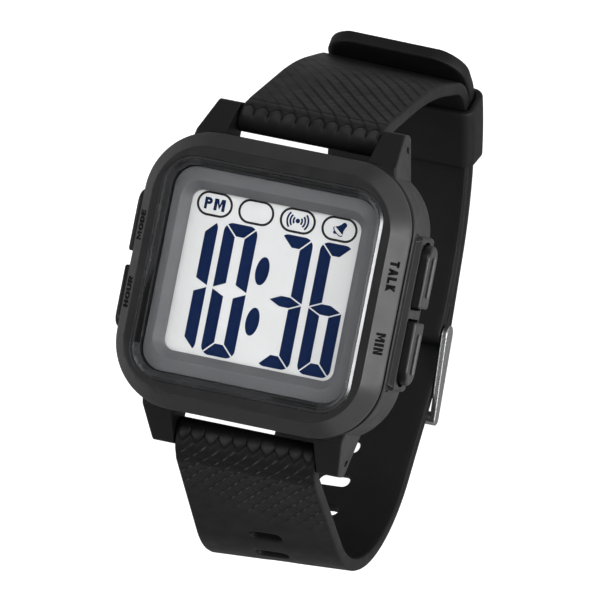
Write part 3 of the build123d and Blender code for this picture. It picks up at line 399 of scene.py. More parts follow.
class Route:
    """A line of straight runs and arcs, read by length."""

    def __init__(self, points, radii):
        self.pieces = []
        start = Vector(points[0])
        for k, radius in enumerate(radii):
            before, corner, after = (Vector(points[k + n]) for n in range(3))
            u = (corner - before).normalized()
            v = (after - corner).normalized()
            turn = math.atan2(u.x * v.y - u.y * v.x, u.dot(v))
            cut = radius * math.tan(abs(turn) / 2)
            bend = corner - u * cut
            side = Vector((-u.y, u.x)) * math.copysign(1, turn)
            self.pieces += [Run(start, bend), Arc(bend + side * radius, bend, turn, radius)]
            start = corner + v * cut
        self.pieces.append(Run(start, Vector(points[-1])))
        self.total = sum(piece.length for piece in self.pieces)

    def split(self, reach):
        """The number of the piece at a length, and the share of it that lies before."""
        for k, piece in enumerate(self.pieces):
            if reach <= piece.length or piece is self.pieces[-1]:
                return k, (reach / piece.length if piece.length > TINY else 0.0)
            reach -= piece.length


class Sheet:
    """A strap half: places on it by length, by distance from its middle and by depth."""

    def __init__(self, points_of, radii):
        self.left, self.middle, self.right = (Route(points_of(side), radii) for side in (-1, 0, 1))
        self.total = self.middle.total

    def row(self, reach):
        """Place and direction at the left edge and at the right edge."""
        k, share = self.middle.split(reach)
        here, way = self.left.pieces[k].at(share)
        there, other_way = self.right.pieces[k].at(share)
        if not (way.length and other_way.length):
            way = other_way = self.middle.pieces[k].at(share)[1]
        return here, way, there, other_way

    def place(self, row, x, depth):
        """depth runs outwards from the mid-line."""
        here, way, there, other_way = row
        share = x / STRAP_W + 0.5
        spot = here.lerp(there, share)
        dirn = way.lerp(other_way, share).normalized()
        return (x, spot.x + dirn.y * depth, spot.y - dirn.x * depth)


LEAST_HALF = 0.04  # half thickness at a sleeve's very end


def sleeve(distance, radius, taper):
    """Half thickness of a strap's end round a bar, by the distance from the bar's axis."""
    tilt = math.asin((radius - HALF_T) / taper)
    turn = radius * sin(tilt)
    if distance < turn:
        return sqrt(max(radius * radius - distance * distance, LEAST_HALF * LEAST_HALF))
    return max(radius * cos(tilt) - (distance - turn) * math.tan(tilt), HALF_T)


FINE_STEP, COARSE_STEP = 0.13, 0.6  # between rows and columns with and without the relief
SIDE_COLUMNS = [-10.95, -9.9, -8.7, -7.4, -6.1, -4.8, -3.6]
SLOT_COLUMNS = [-3.2 + 0.4 * k for k in range(17)]
COARSE = SIDE_COLUMNS + SLOT_COLUMNS + [-x for x in reversed(SIDE_COLUMNS)]
FINE, MARKS = [], [0]  # columns under the relief, and where the coarse ones are among them
for low, high in zip(COARSE, COARSE[1:]):
    count = max(2, round((high - low) / FINE_STEP))
    FINE += [low + (high - low) * k / count for k in range(count)]
    MARKS.append(len(FINE))
FINE.append(COARSE[-1])

EDGE, EDGE_SHARE, EDGE_CUT = 0.28, 0.7, 0.293  # rounding along the strap's sides
SLOT_R, SLOT_HALF = 1.1, 2.6
SLOT_AROUND = 1.7  # rows this near a slot's centre bound its hole in the coarse grid
SLOT_LIP = ((0.4, 0.95), (0.16, 0.95), (0.05, 0.9), (0.0, 0.79))  # outwards, and depth
SLOT_PROFILE = SLOT_LIP + tuple((out, -depth) for out, depth in reversed(SLOT_LIP))
Row = namedtuple("Row", "reach fine top low right left")


def slot_edge(angle, out):
    """A point on a cross slot's outline, grown outwards, in the direction of an angle."""
    radius = SLOT_R + out
    reach = SLOT_HALF - SLOT_R
    c, s = cos(angle), sin(angle)
    if abs(s) * reach >= abs(c) * radius:
        t = radius / abs(s)
        return c * t, s * t
    side = math.copysign(reach, c)
    dot = side * c
    t = dot + sqrt(max(dot * dot - reach * reach + radius * radius, 0.0))
    return c * t, s * t


def ladder(near, far, gap=range(0)):
    """Four-sided faces between two rows of points, except in a gap."""
    steps = [k for k in range(len(near) - 1) if k not in gap]
    return [(near[k], near[k + 1], far[k + 1], far[k]) for k in steps]


def strap_mesh(sheet, reaches, half, relief, relief_from, relief_to, width=None, slots=()):
    """Rows across the strap. Rows between two lengths carry the relief on a finer grid."""
    verts, rows, painted_shading_map, faces = [], [], {}, []

    def put(spot, x, depth):
        verts.append(sheet.place(spot, x, depth))
        return len(verts) - 1

    for reach in reaches:
        spot = sheet.row(reach)
        thick, shift = half(reach)
        outer, inner = shift + thick, shift - thick
        wide = width(reach) if width else HALF_W
        edge = min(EDGE, EDGE_SHARE * thick)
        bend = edge * EDGE_CUT
        share = (wide - edge) / HALF_W
        fine = relief_from - 1e-6 <= reach <= relief_to + 1e-6
        tops = []
        for x in FINE if fine else COARSE:
            # the relief gives each top point its height and its painted light or shade
            height, painted_shading = relief(reach, x * share) if fine else (0.0, 0.0)
            tops.append(put(spot, x * share, outer + height))
            painted_shading_map[tops[-1]] = painted_shading
        upper = ((wide - bend, outer - bend), (wide, outer - edge))
        flank = upper + ((wide, inner + edge), (wide - bend, inner + bend))
        right = [put(spot, x, depth) for x, depth in flank]
        lows = [put(spot, x * share, inner) for x in COARSE]
        left = [put(spot, -x, depth) for x, depth in flank]
        rows.append(Row(reach, fine, tops, lows, right, left))

    first = len(SIDE_COLUMNS)
    last = first + len(SLOT_COLUMNS) - 1
    gaps = []
    for centre in slots:
        inside = [i for i, row in enumerate(rows) if abs(row.reach - centre) < SLOT_AROUND + 0.01]
        gaps.append((centre, inside[0], inside[-1]))
    for i, (a, b) in enumerate(zip(rows, rows[1:])):
        gap = range(first, last) if any(low <= i < high for _, low, high in gaps) else range(0)
        if a.fine == b.fine:
            faces += ladder(b.top, a.top, gap)
        else:
            fine, coarse = (a, b) if a.fine else (b, a)
            for j in range(len(COARSE) - 1):
                face = fine.top[MARKS[j]:MARKS[j + 1] + 1] + [coarse.top[j + 1], coarse.top[j]]
                faces.append(face[::-1] if fine is a else face)
        faces += ladder([b.top[-1], *b.right, b.low[-1]], [a.top[-1], *a.right, a.low[-1]])
        faces += ladder([a.top[0], *a.left, a.low[0]], [b.top[0], *b.left, b.low[0]])
        faces += ladder(a.low, b.low, gap)
    for row in (rows[0], rows[-1]):
        ends = [MARKS[j] if row.fine else j for j in range(len(COARSE))]
        caps = [
            row.top[ends[j]:ends[j + 1] + 1] + [row.low[j + 1], row.low[j]] for j in range(len(COARSE) - 1)
        ]
        caps.append([row.top[-1], *row.right, row.low[-1]])
        caps.append([row.low[0], *reversed(row.left), row.top[0]])
        faces += caps if row is rows[0] else [cap[::-1] for cap in caps]
    for centre, low, high in gaps:
        rim = [(high, j) for j in range(first, last)] + [(i, last) for i in range(high, low, -1)]
        rim += [(low, j) for j in range(last, first, -1)] + [(i, first) for i in range(low, high)]
        rings = [[rows[i].top[j] for i, j in rim]]
        for out, depth in SLOT_PROFILE:
            edges = [slot_edge(math.atan2(rows[i].reach - centre, COARSE[j]), out) for i, j in rim]
            rings.append([put(sheet.row(centre + s), x, depth) for x, s in edges])
        rings.append([rows[i].low[j] for i, j in rim])
        for near, far in zip(rings, rings[1:]):
            faces += ladder(near + near[:1], far + far[:1])
    return verts, faces, painted_shading_map


CELL_X, CELL_S = 2.19, 2.8  # width of a scale, and the tread's full lead along the strap
LONG_LEAD = 1.45  # the tread's lead beside the lower scales
NEAR, FAR = 3.2, 6.2  # the lead grows to its full size between these distances
SCALE_LOW, SCALE_HIGH = 0.35, 1.35  # where a scale's flanks and tip end, from the bar's axis
SCALE_RISE, GROOVE = 0.26, 0.13  # height of a scale, and depth and width of the lines round it
SHINGLE_RISE, DASH_DEPTH, LINE_W = 0.16, 0.04, 0.1
PITCH = 1.72  # distance between the tread's lines
MARGIN = (10.75, 10.2)  # the relief begins between these distances from the strap's middle


def ease(low, high, value):
    t = min(max((value - low) / (high - low), 0.0), 1.0)
    return t * t * (3 - 2 * t)


def ridge(offset, width):
    return math.exp(-((offset / width) ** 2))


def tread_rows(distance, lead):
    """Rows of the tread up to a distance; lead is the one beside the scales."""
    t = min(max(distance - NEAR, 0.0), FAR - NEAR)
    grown = (1 / CELL_S - 1 / lead) * t * t / (2 * (FAR - NEAR))
    return (min(distance, FAR) - SCALE_LOW) / lead + grown + max(distance - FAR, 0.0) / CELL_S


def skin(distance, x, fade, line, lead):
    """Height and painted light and shade by the distance from the bar's axis: scales at the lug, then a
    shingled tread.

    fade weakens the tread, and line is the painted highlight (above 0) or painted shade (below 0) on its
    crests.
    """
    edge = ease(*MARGIN, abs(x))
    across = x / CELL_X
    u = 2 * (across - math.floor(across)) - 1
    tip = SCALE_HIGH - (SCALE_HIGH - SCALE_LOW) * abs(u) ** 1.6
    inside = ease(tip + 0.12, tip - 0.12, distance)
    dome = sqrt(max(1 - u * u, 0.0)) * ease(-1.7, 0.2, distance) * ease(tip + 0.5, tip - 0.9, distance)
    rim = ridge(distance - tip, GROOVE)
    seam = ridge((1 - abs(u)) * CELL_X / 2, GROOVE) * inside * ease(-1.3, 0.1, distance)
    rows = tread_rows(distance, lead)
    a, b = rows + across, rows - across
    step = a - math.floor(a)
    shingle = ease(0.0, 0.1, step) * (1 - step)
    cross = (b - round(b)) * PITCH
    dash = ridge(cross, LINE_W) * ease(0.2, 0.5, step)
    crest = ridge((step - 0.07) * PITCH, LINE_W)
    tread = ease(tip, tip + 0.5, distance) * fade
    height = SCALE_RISE * dome * inside - GROOVE * rim - GROOVE * seam
    height += tread * (SHINGLE_RISE * shingle - DASH_DEPTH * dash)
    glint = 0.55 + 0.45 * sin(5.0 * b + 9.0 * math.floor(a))  # painted highlight along the crests, uneven in strength
    # painted highlight on the scales' tops, painted shade in the grooves round them
    painted_shading = 0.32 * dome * inside - 0.7 * max(rim, seam)
    # painted highlight or shade along the crests by line, painted shade in the dashes, painted highlight
    # where crests meet them
    painted_shading += tread * (line * crest * glint - 0.25 * dash + 0.3 * crest * ridge(cross, 0.22))
    return edge * height, edge * painted_shading


def long_skin_at(reach, x):
    """The tread runs out before the slots, sooner on the left."""
    distance = reach - SLEEVE_R
    fade = ease(19.0, 13.0, distance + 0.55 * max(-x, 0.0))
    # the long half's crests get a painted highlight
    return skin(distance, x, fade, 0.75, LONG_LEAD)


def short_skin_at(reach, x):
    """The tread runs out towards the buckle and is weak on the left."""
    distance = lug_reach - reach
    fade = ease(33.5, 29.0, distance) * (0.3 + 0.7 * ease(-8.0, -2.5, x - 0.15 * distance + 1.5))
    # the short half's crests get painted shade
    return skin(distance, x, fade, -0.75, CELL_S)


def spaced(low, high, step):
    count = max(1, math.ceil((high - low) / step - 1e-6))
    return [low + (high - low) * k / count for k in range(count)]


def sleeve_tip(radius):
    """Closely spaced lengths round a strap's rounded end."""
    return [radius * (1 - cos(radians(a))) for a in (2, 8, 15, 23, 31, 40, 49, 58, 67, 76, 85)]


SLOTS, SLOT_PITCH, TONGUE_SLOT = 15, 5.7, 9
TAIL_R, TIP_R = 5.0, 0.3  # rounding of the tail's corners and of its end's edges
TAIL_TURNS = (0, 8, 16, 24, 32, 40, 48, 56, 63, 69, 75, 80, 84, 87, 89, 90)

long_sheet = Sheet(long_points, long_radii)
long_end = long_sheet.total
tongue_reach = Route(long_points(0)[:4], long_radii[:2]).total - 8.12
slot_reaches = [tongue_reach + (k - TONGUE_SLOT) * SLOT_PITCH for k in range(SLOTS)]
tread_end = slot_reaches[0] - 2.3
tail_from = long_end - TAIL_R
long_reaches = sleeve_tip(SLEEVE_R) + spaced(SLEEVE_R, tread_end, FINE_STEP) + [tread_end]
for centre in slot_reaches:
    start = centre - SLOT_AROUND
    long_reaches += spaced(long_reaches[-1], start, COARSE_STEP)[1:]
    long_reaches += [start + SLOT_AROUND / 4 * k for k in range(9)]
if tail_from > long_reaches[-1]:
    long_reaches += spaced(long_reaches[-1], tail_from, COARSE_STEP)[1:]
tail_rows = [tail_from + TAIL_R * sin(radians(a)) for a in TAIL_TURNS]
long_reaches += [r for r in tail_rows if r > long_reaches[-1] + 0.02]


def long_half(reach):
    """Half thickness and shift outwards."""
    left = long_end - reach
    if left < TIP_R:
        return HALF_T - TIP_R + sqrt(max(TIP_R * TIP_R - (TIP_R - left) ** 2, 0.0)), 0.0
    return sleeve(reach - SLEEVE_R, SLEEVE_R, LONG_TAPER), 0.0


def long_width(reach):
    past = reach - tail_from
    if past <= 0:
        return HALF_W
    return HALF_W - TAIL_R + sqrt(max(TAIL_R * TAIL_R - past * past, 0.0))


verts, faces, painted_shading_map = strap_mesh(
    long_sheet, long_reaches, long_half, long_skin_at, 0.0, tread_end, long_width, slot_reaches)
long_skin = finish_mesh("strap_long_skin", verts, faces, strap_black, sharp=50)
# painted light and shade of the relief, kept on the long half's points
store_painted_shading(long_skin, painted_shading_map)
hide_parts("strap_long")

short_sheet = Sheet(short_points, short_radii)
short_end = short_sheet.total
lug_reach = short_end - SLEEVE_R
tread_start = lug_reach - 34.0
short_reaches = sleeve_tip(BUCKLE_SLEEVE_R) + spaced(BUCKLE_SLEEVE_R, tread_start, COARSE_STEP)
short_reaches += spaced(tread_start, lug_reach, FINE_STEP)
short_reaches += [short_end - r for r in reversed(sleeve_tip(SLEEVE_R))]


def short_half(reach):
    near = reach - BUCKLE_SLEEVE_R
    if near < 4.0:
        return sleeve(near, BUCKLE_SLEEVE_R, BUCKLE_TAPER), BUCKLE_DROP * ease(2.5, 0.0, near)
    return sleeve(lug_reach - reach, SLEEVE_R, SHORT_TAPER), 0.0


verts, faces, painted_shading_map = strap_mesh(
    short_sheet, short_reaches, short_half, short_skin_at, tread_start, short_end)
short_skin = finish_mesh("strap_short_skin", verts, faces, strap_black, sharp=50)
# painted light and shade of the relief, kept on the short half's points
store_painted_shading(short_skin, painted_shading_map)
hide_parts("strap_short")


def bored(piece, *cutters):
    """Cuts holes through a piece with plain solids that then go away."""
    for tool in cutters:
        cut = piece.modifiers.new("cut", "BOOLEAN")
        cut.operation = "DIFFERENCE"
        cut.solver = "EXACT"
        cut.object = tool
    bpy.context.view_layer.update()
    graph = bpy.context.evaluated_depsgraph_get()
    done = bpy.data.meshes.new_from_object(piece.evaluated_get(graph))
    old = piece.data
    piece.modifiers.clear()
    piece.data = done
    bpy.data.meshes.remove(old)
    for tool in cutters:
        bpy.data.objects.remove(tool)


def cutter(build, **sizes):
    shape = bmesh.new()
    build(shape, **sizes)
    mesh = bpy.data.meshes.new("cutter")
    shape.to_mesh(mesh)
    shape.free()
    return add_object("cutter", mesh)


def pin_cutter(y, z, radius):
    turn = Matrix.Translation((0, y * MM, z * MM)) @ Matrix.Rotation(math.pi / 2, 4, "Y")
    sizes = {"radius1": radius * MM, "radius2": radius * MM, "depth": 0.03}
    return cutter(bmesh.ops.create_cone, cap_ends=True, segments=40, matrix=turn, **sizes)


def box_cutter(centre, size):
    grown = Matrix.Translation([c * MM for c in centre]) @ Matrix.Diagonal([s * MM for s in size] + [1])
    return cutter(bmesh.ops.create_cube, size=1.0, matrix=grown)


BAR_BORE, BUCKLE_BORE = 0.83, 0.78
TONGUE_NOTCH = (3.0, 3.6, 3.6)
buckle_z = LOOP_Z - SHORT_R - BUCKLE_DROP
bored(long_skin, pin_cutter(-BAR_Y, BAR_Z, BAR_BORE))
bored(
    short_skin,
    pin_cutter(BAR_Y, BAR_Z, BAR_BORE),
    pin_cutter(BUCKLE_Y, buckle_z, BUCKLE_BORE),
    box_cutter((0, BUCKLE_Y, buckle_z), TONGUE_NOTCH),
)


# Keeper: a soft band round both layers

def rounded_box(half_x, half_y, radius, count):
    """Points round a rectangle with rounded corners, each with its direction outwards."""
    loop = []
    for sx, sy, start in ((1, 1, 0), (-1, 1, 90), (-1, -1, 180), (1, -1, 270)):
        for k in range(count + 1):
            turn = radians(start + 90 * k / count)
            out = (cos(turn), sin(turn))
            x, y = sx * (half_x - radius) + radius * out[0], sy * (half_y - radius) + radius * out[1]
            loop.append((x, y, out))
    return loop


def filled(loop, step):
    """Adds points to the straight sides of a closed loop."""
    done = []
    for (x, y, out), (x2, y2, _) in zip(loop, loop[1:] + loop[:1]):
        parts = max(int(math.hypot(x2 - x, y2 - y) / step), 1)
        for t in [m / parts for m in range(parts)]:
            done.append((x + (x2 - x) * t, y + (y2 - y) * t, out))
    return done


KEEPER_WALL, KEEPER_HALF, KEEPER_AT = 1.1, 5.15, 33.8  # wall, half length, and angle on the loop
KEEPER_CORNER, KEEPER_EDGE = 1.3, 0.45


def keeper_band():
    inner_r = SHORT_R - HALF_T - 0.2
    outer_r = LONG_R + HALF_T + 0.55
    mid_r = (inner_r + outer_r) / 2
    high = (outer_r - inner_r) / 2 + KEEPER_WALL / 2
    across = HALF_W + 0.1 + KEEPER_WALL / 2
    section = filled(rounded_box(KEEPER_WALL / 2, KEEPER_HALF, KEEPER_EDGE, 5), 1.3)
    loop = filled(rounded_box(across, high, KEEPER_CORNER, 9), 1.2)
    verts, faces = [], []
    for x, rise, out in loop:
        for a, b, _ in section:
            y, z = on_arc(mid_r + rise + out[1] * a, KEEPER_AT + math.degrees(b / LOOP_R))
            verts.append((x + out[0] * a, y, z))
    n = len(section)
    for i in range(0, len(verts), n):
        i2 = (i + n) % len(verts)
        for j in range(n):
            j2 = (j + 1) % n
            faces.append((i + j, i2 + j, i2 + j2, i + j2))
    return verts, faces


verts, faces = keeper_band()
keeper_skin = finish_mesh("keeper_skin", verts, faces, keeper_black, "strap_keeper")
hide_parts("keeper")


# Display: thin shapes on the liquid-crystal panel

LCD_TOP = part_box("lcd_panel")[1][2] / MM
INK_LIFT, INK_T = 0.005, 0.02  # gap under the shapes, and their thickness


class Print:
    """Flat shapes gathered into one thin piece."""

    def __init__(self, thickness=INK_T, base=LCD_TOP + INK_LIFT):
        self.verts, self.faces = [], []
        self.low, self.high = base, base + thickness

    def polygon(self, points):
        n = len(points)
        area = sum(a[0] * b[1] - b[0] * a[1] for a, b in zip(points, points[1:] + points[:1]))
        if area < 0:
            points = points[::-1]
        start = len(self.verts)
        self.verts += [(x, y, self.low) for x, y in points] + [(x, y, self.high) for x, y in points]
        self.faces.append(tuple(range(start + n, start + 2 * n)))
        self.faces.append(tuple(range(start + n - 1, start - 1, -1)))
        for k in range(n):
            m = (k + 1) % n
            self.faces.append((start + k, start + m, start + n + m, start + n + k))

    def ribbon(self, points, width, closed=False):
        n = len(points)
        near, far = [], []
        for k, (x, y) in enumerate(points):
            before = points[k - 1] if closed or k else points[k]
            after = points[(k + 1) % n] if closed or k < n - 1 else points[k]
            way = Vector((after[0] - before[0], after[1] - before[1])).normalized()
            near.append((x - way.y * width / 2, y + way.x * width / 2))
            far.append((x + way.y * width / 2, y - way.x * width / 2))
        start = len(self.verts)
        for level in (self.low, self.high):
            self.verts += [(x, y, level) for x, y in near + far]
        lows = [start + k for k in range(2 * n)]
        highs = [start + 2 * n + k for k in range(2 * n)]
        for k in range(n if closed else n - 1):
            m = (k + 1) % n
            self.faces += [
                (highs[n + k], highs[n + m], highs[m], highs[k]),
                (lows[k], lows[m], lows[n + m], lows[n + k]),
                (highs[k], highs[m], lows[m], lows[k]),
                (lows[n + k], lows[n + m], highs[n + m], highs[n + k]),
            ]
        if not closed:
            self.faces.append((lows[0], lows[n], highs[n], highs[0]))
            self.faces.append((highs[n - 1], highs[2 * n - 1], lows[2 * n - 1], lows[n - 1]))

    def piece(self, name, look, slot):
        made = finish_mesh(name, self.verts, self.faces, look, smooth=False)


DIGIT_TOP, DIGIT_MID, DIGIT_LOW = 8.0, -1.8, -11.6
STROKE, MID_HALF, MID_TIP = 1.85, 0.78, 0.2  # a segment's width; the middle one's half width and inset
POST_END = 0.88  # from the digit's middle to the inner end of an upright
SLIT, BEND = 0.2, 1.35  # gap between segments, and radius of the outer corners
MITRE = 1.414
CORNER_STEPS = 6


def digit(ink, x0, x1, lit):
    """Seven-segment digit between two sides, with mitred joints and rounded outer corners."""
    k = SLIT / 2
    d = MITRE * k
    slit = math.degrees(k / BEND)
    mid = DIGIT_MID

    def corner(outer, s, y, v, first, last):
        """Points round an outer corner, by angle from the digit's side to its top or foot."""
        steps = range(CORNER_STEPS + 1)
        turns = [radians(first + (last - first) * n / CORNER_STEPS) for n in steps]
        return [(outer + s * BEND * (1 - cos(t)), y - v * BEND * (1 - sin(t))) for t in turns]

    def cap(y, v):
        edge = y - v * STROKE
        ends = corner(x0, 1, y, v, 45 + slit, 90) + corner(x1, -1, y, v, 90, 45 + slit)
        return ends + [(x1 - STROKE - d, edge), (x0 + STROKE + d, edge)]

    def post(outer, s, y, v):
        inner = outer + s * STROKE
        return corner(outer, s, y, v, 0, 45 - slit) + [
            (inner, y - v * (STROKE + d)), (inner, mid + v * (POST_END + k)), (outer, mid + v * 1.3 * k),
        ]

    shapes = {
        "a": cap(DIGIT_TOP, 1), "d": cap(DIGIT_LOW, -1),
        "f": post(x0, 1, DIGIT_TOP, 1), "b": post(x1, -1, DIGIT_TOP, 1),
        "e": post(x0, 1, DIGIT_LOW, -1), "c": post(x1, -1, DIGIT_LOW, -1),
        "g": [
            (x0 + MID_TIP, mid), (x0 + STROKE, mid + MID_HALF), (x1 - STROKE, mid + MID_HALF),
            (x1 - MID_TIP, mid), (x1 - STROKE, mid - MID_HALF), (x0 + STROKE, mid - MID_HALF),
        ],
    }
    for key in lit:
        ink.polygon(shapes[key])


def oval(cx, cy, rx, ry, count=40, start=0.0, end=360.0, lean=0.0):
    """Points round an ellipse, or along a part of it with both ends."""
    points = []
    steps = count if end - start >= 360 else count + 1
    for k in range(steps):
        turn = radians(start + (end - start) * k / count)
        x, y = rx * cos(turn), ry * sin(turn)
        points.append((cx + x + lean * y, cy + y))
    return points


def pill(cx, cy, width, height):
    r = height / 2
    run = width / 2 - r
    return oval(cx + run, cy, r, r, 18, -90, 90) + oval(cx - run, cy, r, r, 18, 90, 270)


def tilted(points, cx, cy, angle):
    turn = radians(angle)
    c, s = cos(turn), sin(turn)
    return [(cx + x * c - y * s, cy + x * s + y * c) for x, y in points]


digits = Print()
digit(digits, -13.65, -8.5, "bc")
digit(digits, -7.55, -2.35, "abcdef")
digit(digits, 1.1, 6.25, "abcdg")
digit(digits, 7.4, 12.5, "acdefg")
for dot_y in (1.95, -5.55):
    digits.polygon(oval(-0.6, dot_y, 1.02, 2.1, lean=0.05))

# Indicators above the digits: afternoon, an empty one, sound and alarm
PILL_XS, PILL_Y = (-9.68, -3.23, 3.23, 9.7), 10.15
PILL_W, PILL_H, PILL_LINE = 5.2, 3.3, 0.35
WAVE_SPAN, WAVE_LINE = 42, 0.28
BELL_TILT = -38
wave_x = PILL_XS[2]
digits.polygon(oval(wave_x, PILL_Y, 0.34, 0.34, 20))
for radius in (0.66, 1.14, 1.62):
    for middle in (0, 180):
        wave = oval(wave_x, PILL_Y, radius, radius, 14, middle - WAVE_SPAN, middle + WAVE_SPAN)
        digits.ribbon(wave, WAVE_LINE)
bell_place = (PILL_XS[3] + 0.15, PILL_Y + 0.05, BELL_TILT)
bell = [(-0.2, 1.2), (0.2, 1.2), (0.36, 1.0), (0.42, 0.55), (0.55, 0.1), (0.85, -0.32)]
bell += [(-x, y) for x, y in reversed(bell)][:-1]
digits.polygon(tilted(bell, *bell_place))
digits.ribbon(tilted(oval(0, -0.55, 0.88, 0.3, 28, -200, 20), *bell_place), 0.15)
digits.polygon(tilted(oval(-0.25, -0.98, 0.26, 0.2, 16), *bell_place))
digits.piece("display_digits", segment_navy, "display_glass")

pills = Print(0.022)
for x in PILL_XS:
    pills.ribbon(pill(x, PILL_Y, PILL_W, PILL_H), PILL_LINE, closed=True)
pills.piece("display_outlines", outline_black, "display_glass")


def letter(key, t):
    """Outlines, strokes and closed strokes, t wide, of a plain capital one unit high, and its width."""
    h = t / 2
    w = {"I": t, "M": 0.86, "O": 0.72, "A": 0.74, "N": 0.66}.get(key, 0.62)
    shapes, lines, rings = [], [], []
    stem = [(h, 0), (h, 1)]
    bowl = oval(w - 0.29, 0.71, 0.29 - h, 0.29 - h, 12, 90, -90)
    if key == "T":
        lines = [[(0, 1 - h), (w, 1 - h)], [(w / 2, 1), (w / 2, 0)]]
    elif key == "A":
        fork = (w / 2 - 1.1 * t) / (w / 2 - 0.55 * t)
        leg = [(1.1 * t, 0), (0, 0), (w / 2 - 0.55 * t, 1)]
        shapes = [leg + [(w - x, y) for x, y in reversed(leg)] + [(w / 2, fork)]]
        lines = [[(0.2 * w, 0.3), (0.8 * w, 0.3)]]
    elif key == "L":
        lines = [[(h, 1), (h, 0)], [(h, h), (w, h)]]
    elif key == "K":
        lines = [[(h, 1), (h, 0)]]
        shapes = [
            [(t, 0.28), (t, 0.58), (w - 1.2 * t, 1), (w, 1)],
            [(0.42 * w, 0.62), (0.42 * w - 0.9 * t, 0.42), (w - 1.15 * t, 0), (w + 0.02, 0)],
        ]
    elif key == "M":
        half = [(t, 0.64), (t, 0), (0, 0), (0, 1), (1.3 * t, 1)]
        shapes = [half + [(w / 2, 0.5)] + [(w - x, y) for x, y in reversed(half)] + [(w / 2, 0.12)]]
    elif key == "I":
        lines = [stem]
    elif key == "N":
        half = [(0, 0), (0, 1), (1.1 * t, 1), (w - t, 0.38), (w - t, 1)]
        shapes = [half + [(w, 1), (w, 0), (w - 1.1 * t, 0), (t, 0.62), (t, 0)]]
    elif key == "O":
        rings = [oval(w / 2, 0.5, w / 2 - h, 0.5 - h, 36)]
    elif key == "D":
        bow = oval(w - 0.36, 0.5, 0.36 - h, 0.5 - h, 18, -90, 90)
        lines = [stem, [(h, h)] + bow + [(h, 1 - h)]]
    elif key == "E":
        arms = [[(h, 1 - h), (w - 0.04, 1 - h)], [(h, 0.5), (w - 0.08, 0.5)], [(h, h), (w - 0.04, h)]]
        lines = [stem] + arms
    elif key == "H":
        lines = [stem, [(w - h, 0), (w - h, 1)], [(h, 0.5), (w - h, 0.5)]]
    elif key == "U":
        lines = [[(h, 1)] + oval(w / 2, 0.32, w / 2 - h, 0.32 - h, 18, 180, 360) + [(w - h, 1)]]
    elif key in "PR":
        lines = [stem, [(h, 1 - h)] + bowl + [(h, 0.42 + h)]]
        if key == "R":
            shapes = [[(0.38 * w, 0.5), (0.38 * w + 1.1 * t, 0.5), (w, 0), (w - 1.2 * t, 0)]]
    return shapes, lines, rings, w


LETTER_GAP = 0.14  # of a letter's height


def lettering(name, text, height, length, place, look, t, thick=INK_T):
    """Generic capitals as a thin mesh on a surface, centred on its place."""
    ink = Print(thick, 0.0)
    letters = [letter(key, t) for key in text]
    total = sum(w for *_, w in letters) + LETTER_GAP * (len(letters) - 1)
    stretch = length / (total * height)

    def spread(points, x):
        return [((x + px) * height * stretch, (py - 0.5) * height) for px, py in points]

    x = -total / 2
    for shapes, lines, rings, w in letters:
        for shape in shapes:
            ink.polygon(spread(shape, x))
        for line in lines:
            ink.ribbon(spread(line, x), t * height)
        for ring in rings:
            ink.ribbon(spread(ring, x), t * height, closed=True)
        x += w + LETTER_GAP
    made = finish_mesh(name, [tuple(place @ Vector(v)) for v in ink.verts], ink.faces, look, smooth=False)


def facing(origin, right, up):
    """A frame for lettering: its reading direction and the way its letters stand."""
    right, up = Vector(right).normalized(), Vector(up).normalized()
    out = right.cross(up)
    made = Matrix((right, up, out)).transposed().to_4x4()
    made.translation = Vector(origin)
    return made


pm_place = facing((PILL_XS[0], PILL_Y, LCD_TOP + 0.006), (1, 0, 0), (0, 1, 0))
lettering("display_pm", "PM", 1.75, 3.2, pm_place, segment_navy, 0.24)

# Words beside the buttons, on the bezel's sloping sides
SLOPE_X, SLOPE_Z = 19.55, 12.82  # the slope's middle
SLOPE_OUT = (0.836, 0.549)  # its direction outwards
WORD_SINK, WORD_T = 0.01, 0.05
slope = Vector((2.2, 0, -3.35)).normalized()
for text, side, y, length in (
    ("TALK", 1, 5.0, 4.5), ("MIN", 1, -5.0, 3.2), ("MODE", -1, 5.2, 4.5), ("HOUR", -1, -4.8, 4.5),
):
    out = Vector((side * SLOPE_OUT[0], 0, SLOPE_OUT[1]))
    centre = Vector((side * SLOPE_X, y, SLOPE_Z)) - out * WORD_SINK
    place = facing(centre, (0, -side, 0), (side * slope.x, 0, slope.z))
    height, t = (1.8, 0.25) if side > 0 else (2.3, 0.18)
    lettering("label_" + text.lower(), text, height, length, place, print_black, t, WORD_T)


# Lens: a dark band under its rim, painted shade of the recess seen through it, and its polished sloping edge

def tube(count, n, closed=False):
    """Faces between rings of n points that follow each other."""
    faces = []
    for i in range(0, (count if closed else count - 1) * n, n):
        i2 = (i + n) % (count * n)
        for k in range(n):
            k2 = (k + 1) % n
            faces.append((i + k, i + k2, i2 + k2, i2 + k))
    return faces


LENS_X, LENS_Y, LENS_R = 34.2, 33.2, 4.8
lens_low, lens_top = (c[2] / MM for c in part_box("lens"))


def lens_loop(inset):
    loop = rounded_box((LENS_X - 2 * inset) / 2, (LENS_Y - 2 * inset) / 2, LENS_R - inset, 14)
    return [(x, y) for x, y, _ in loop]


def band(name, insets, look, smooth=True):
    """A closed band through loops that follow the lens's outline, each at its own height."""
    verts = [(x, y, z) for inset, z in insets for x, y in lens_loop(inset)]
    faces = tube(len(insets), len(verts) // len(insets), closed=True)
    made = finish_mesh(name, verts, faces, look, smooth=smooth, sharp=30)


BORDER_OUT, BORDER_IN = 0.1, 1.25
border_high, border_low = lens_low - 0.02, lens_low - 0.06
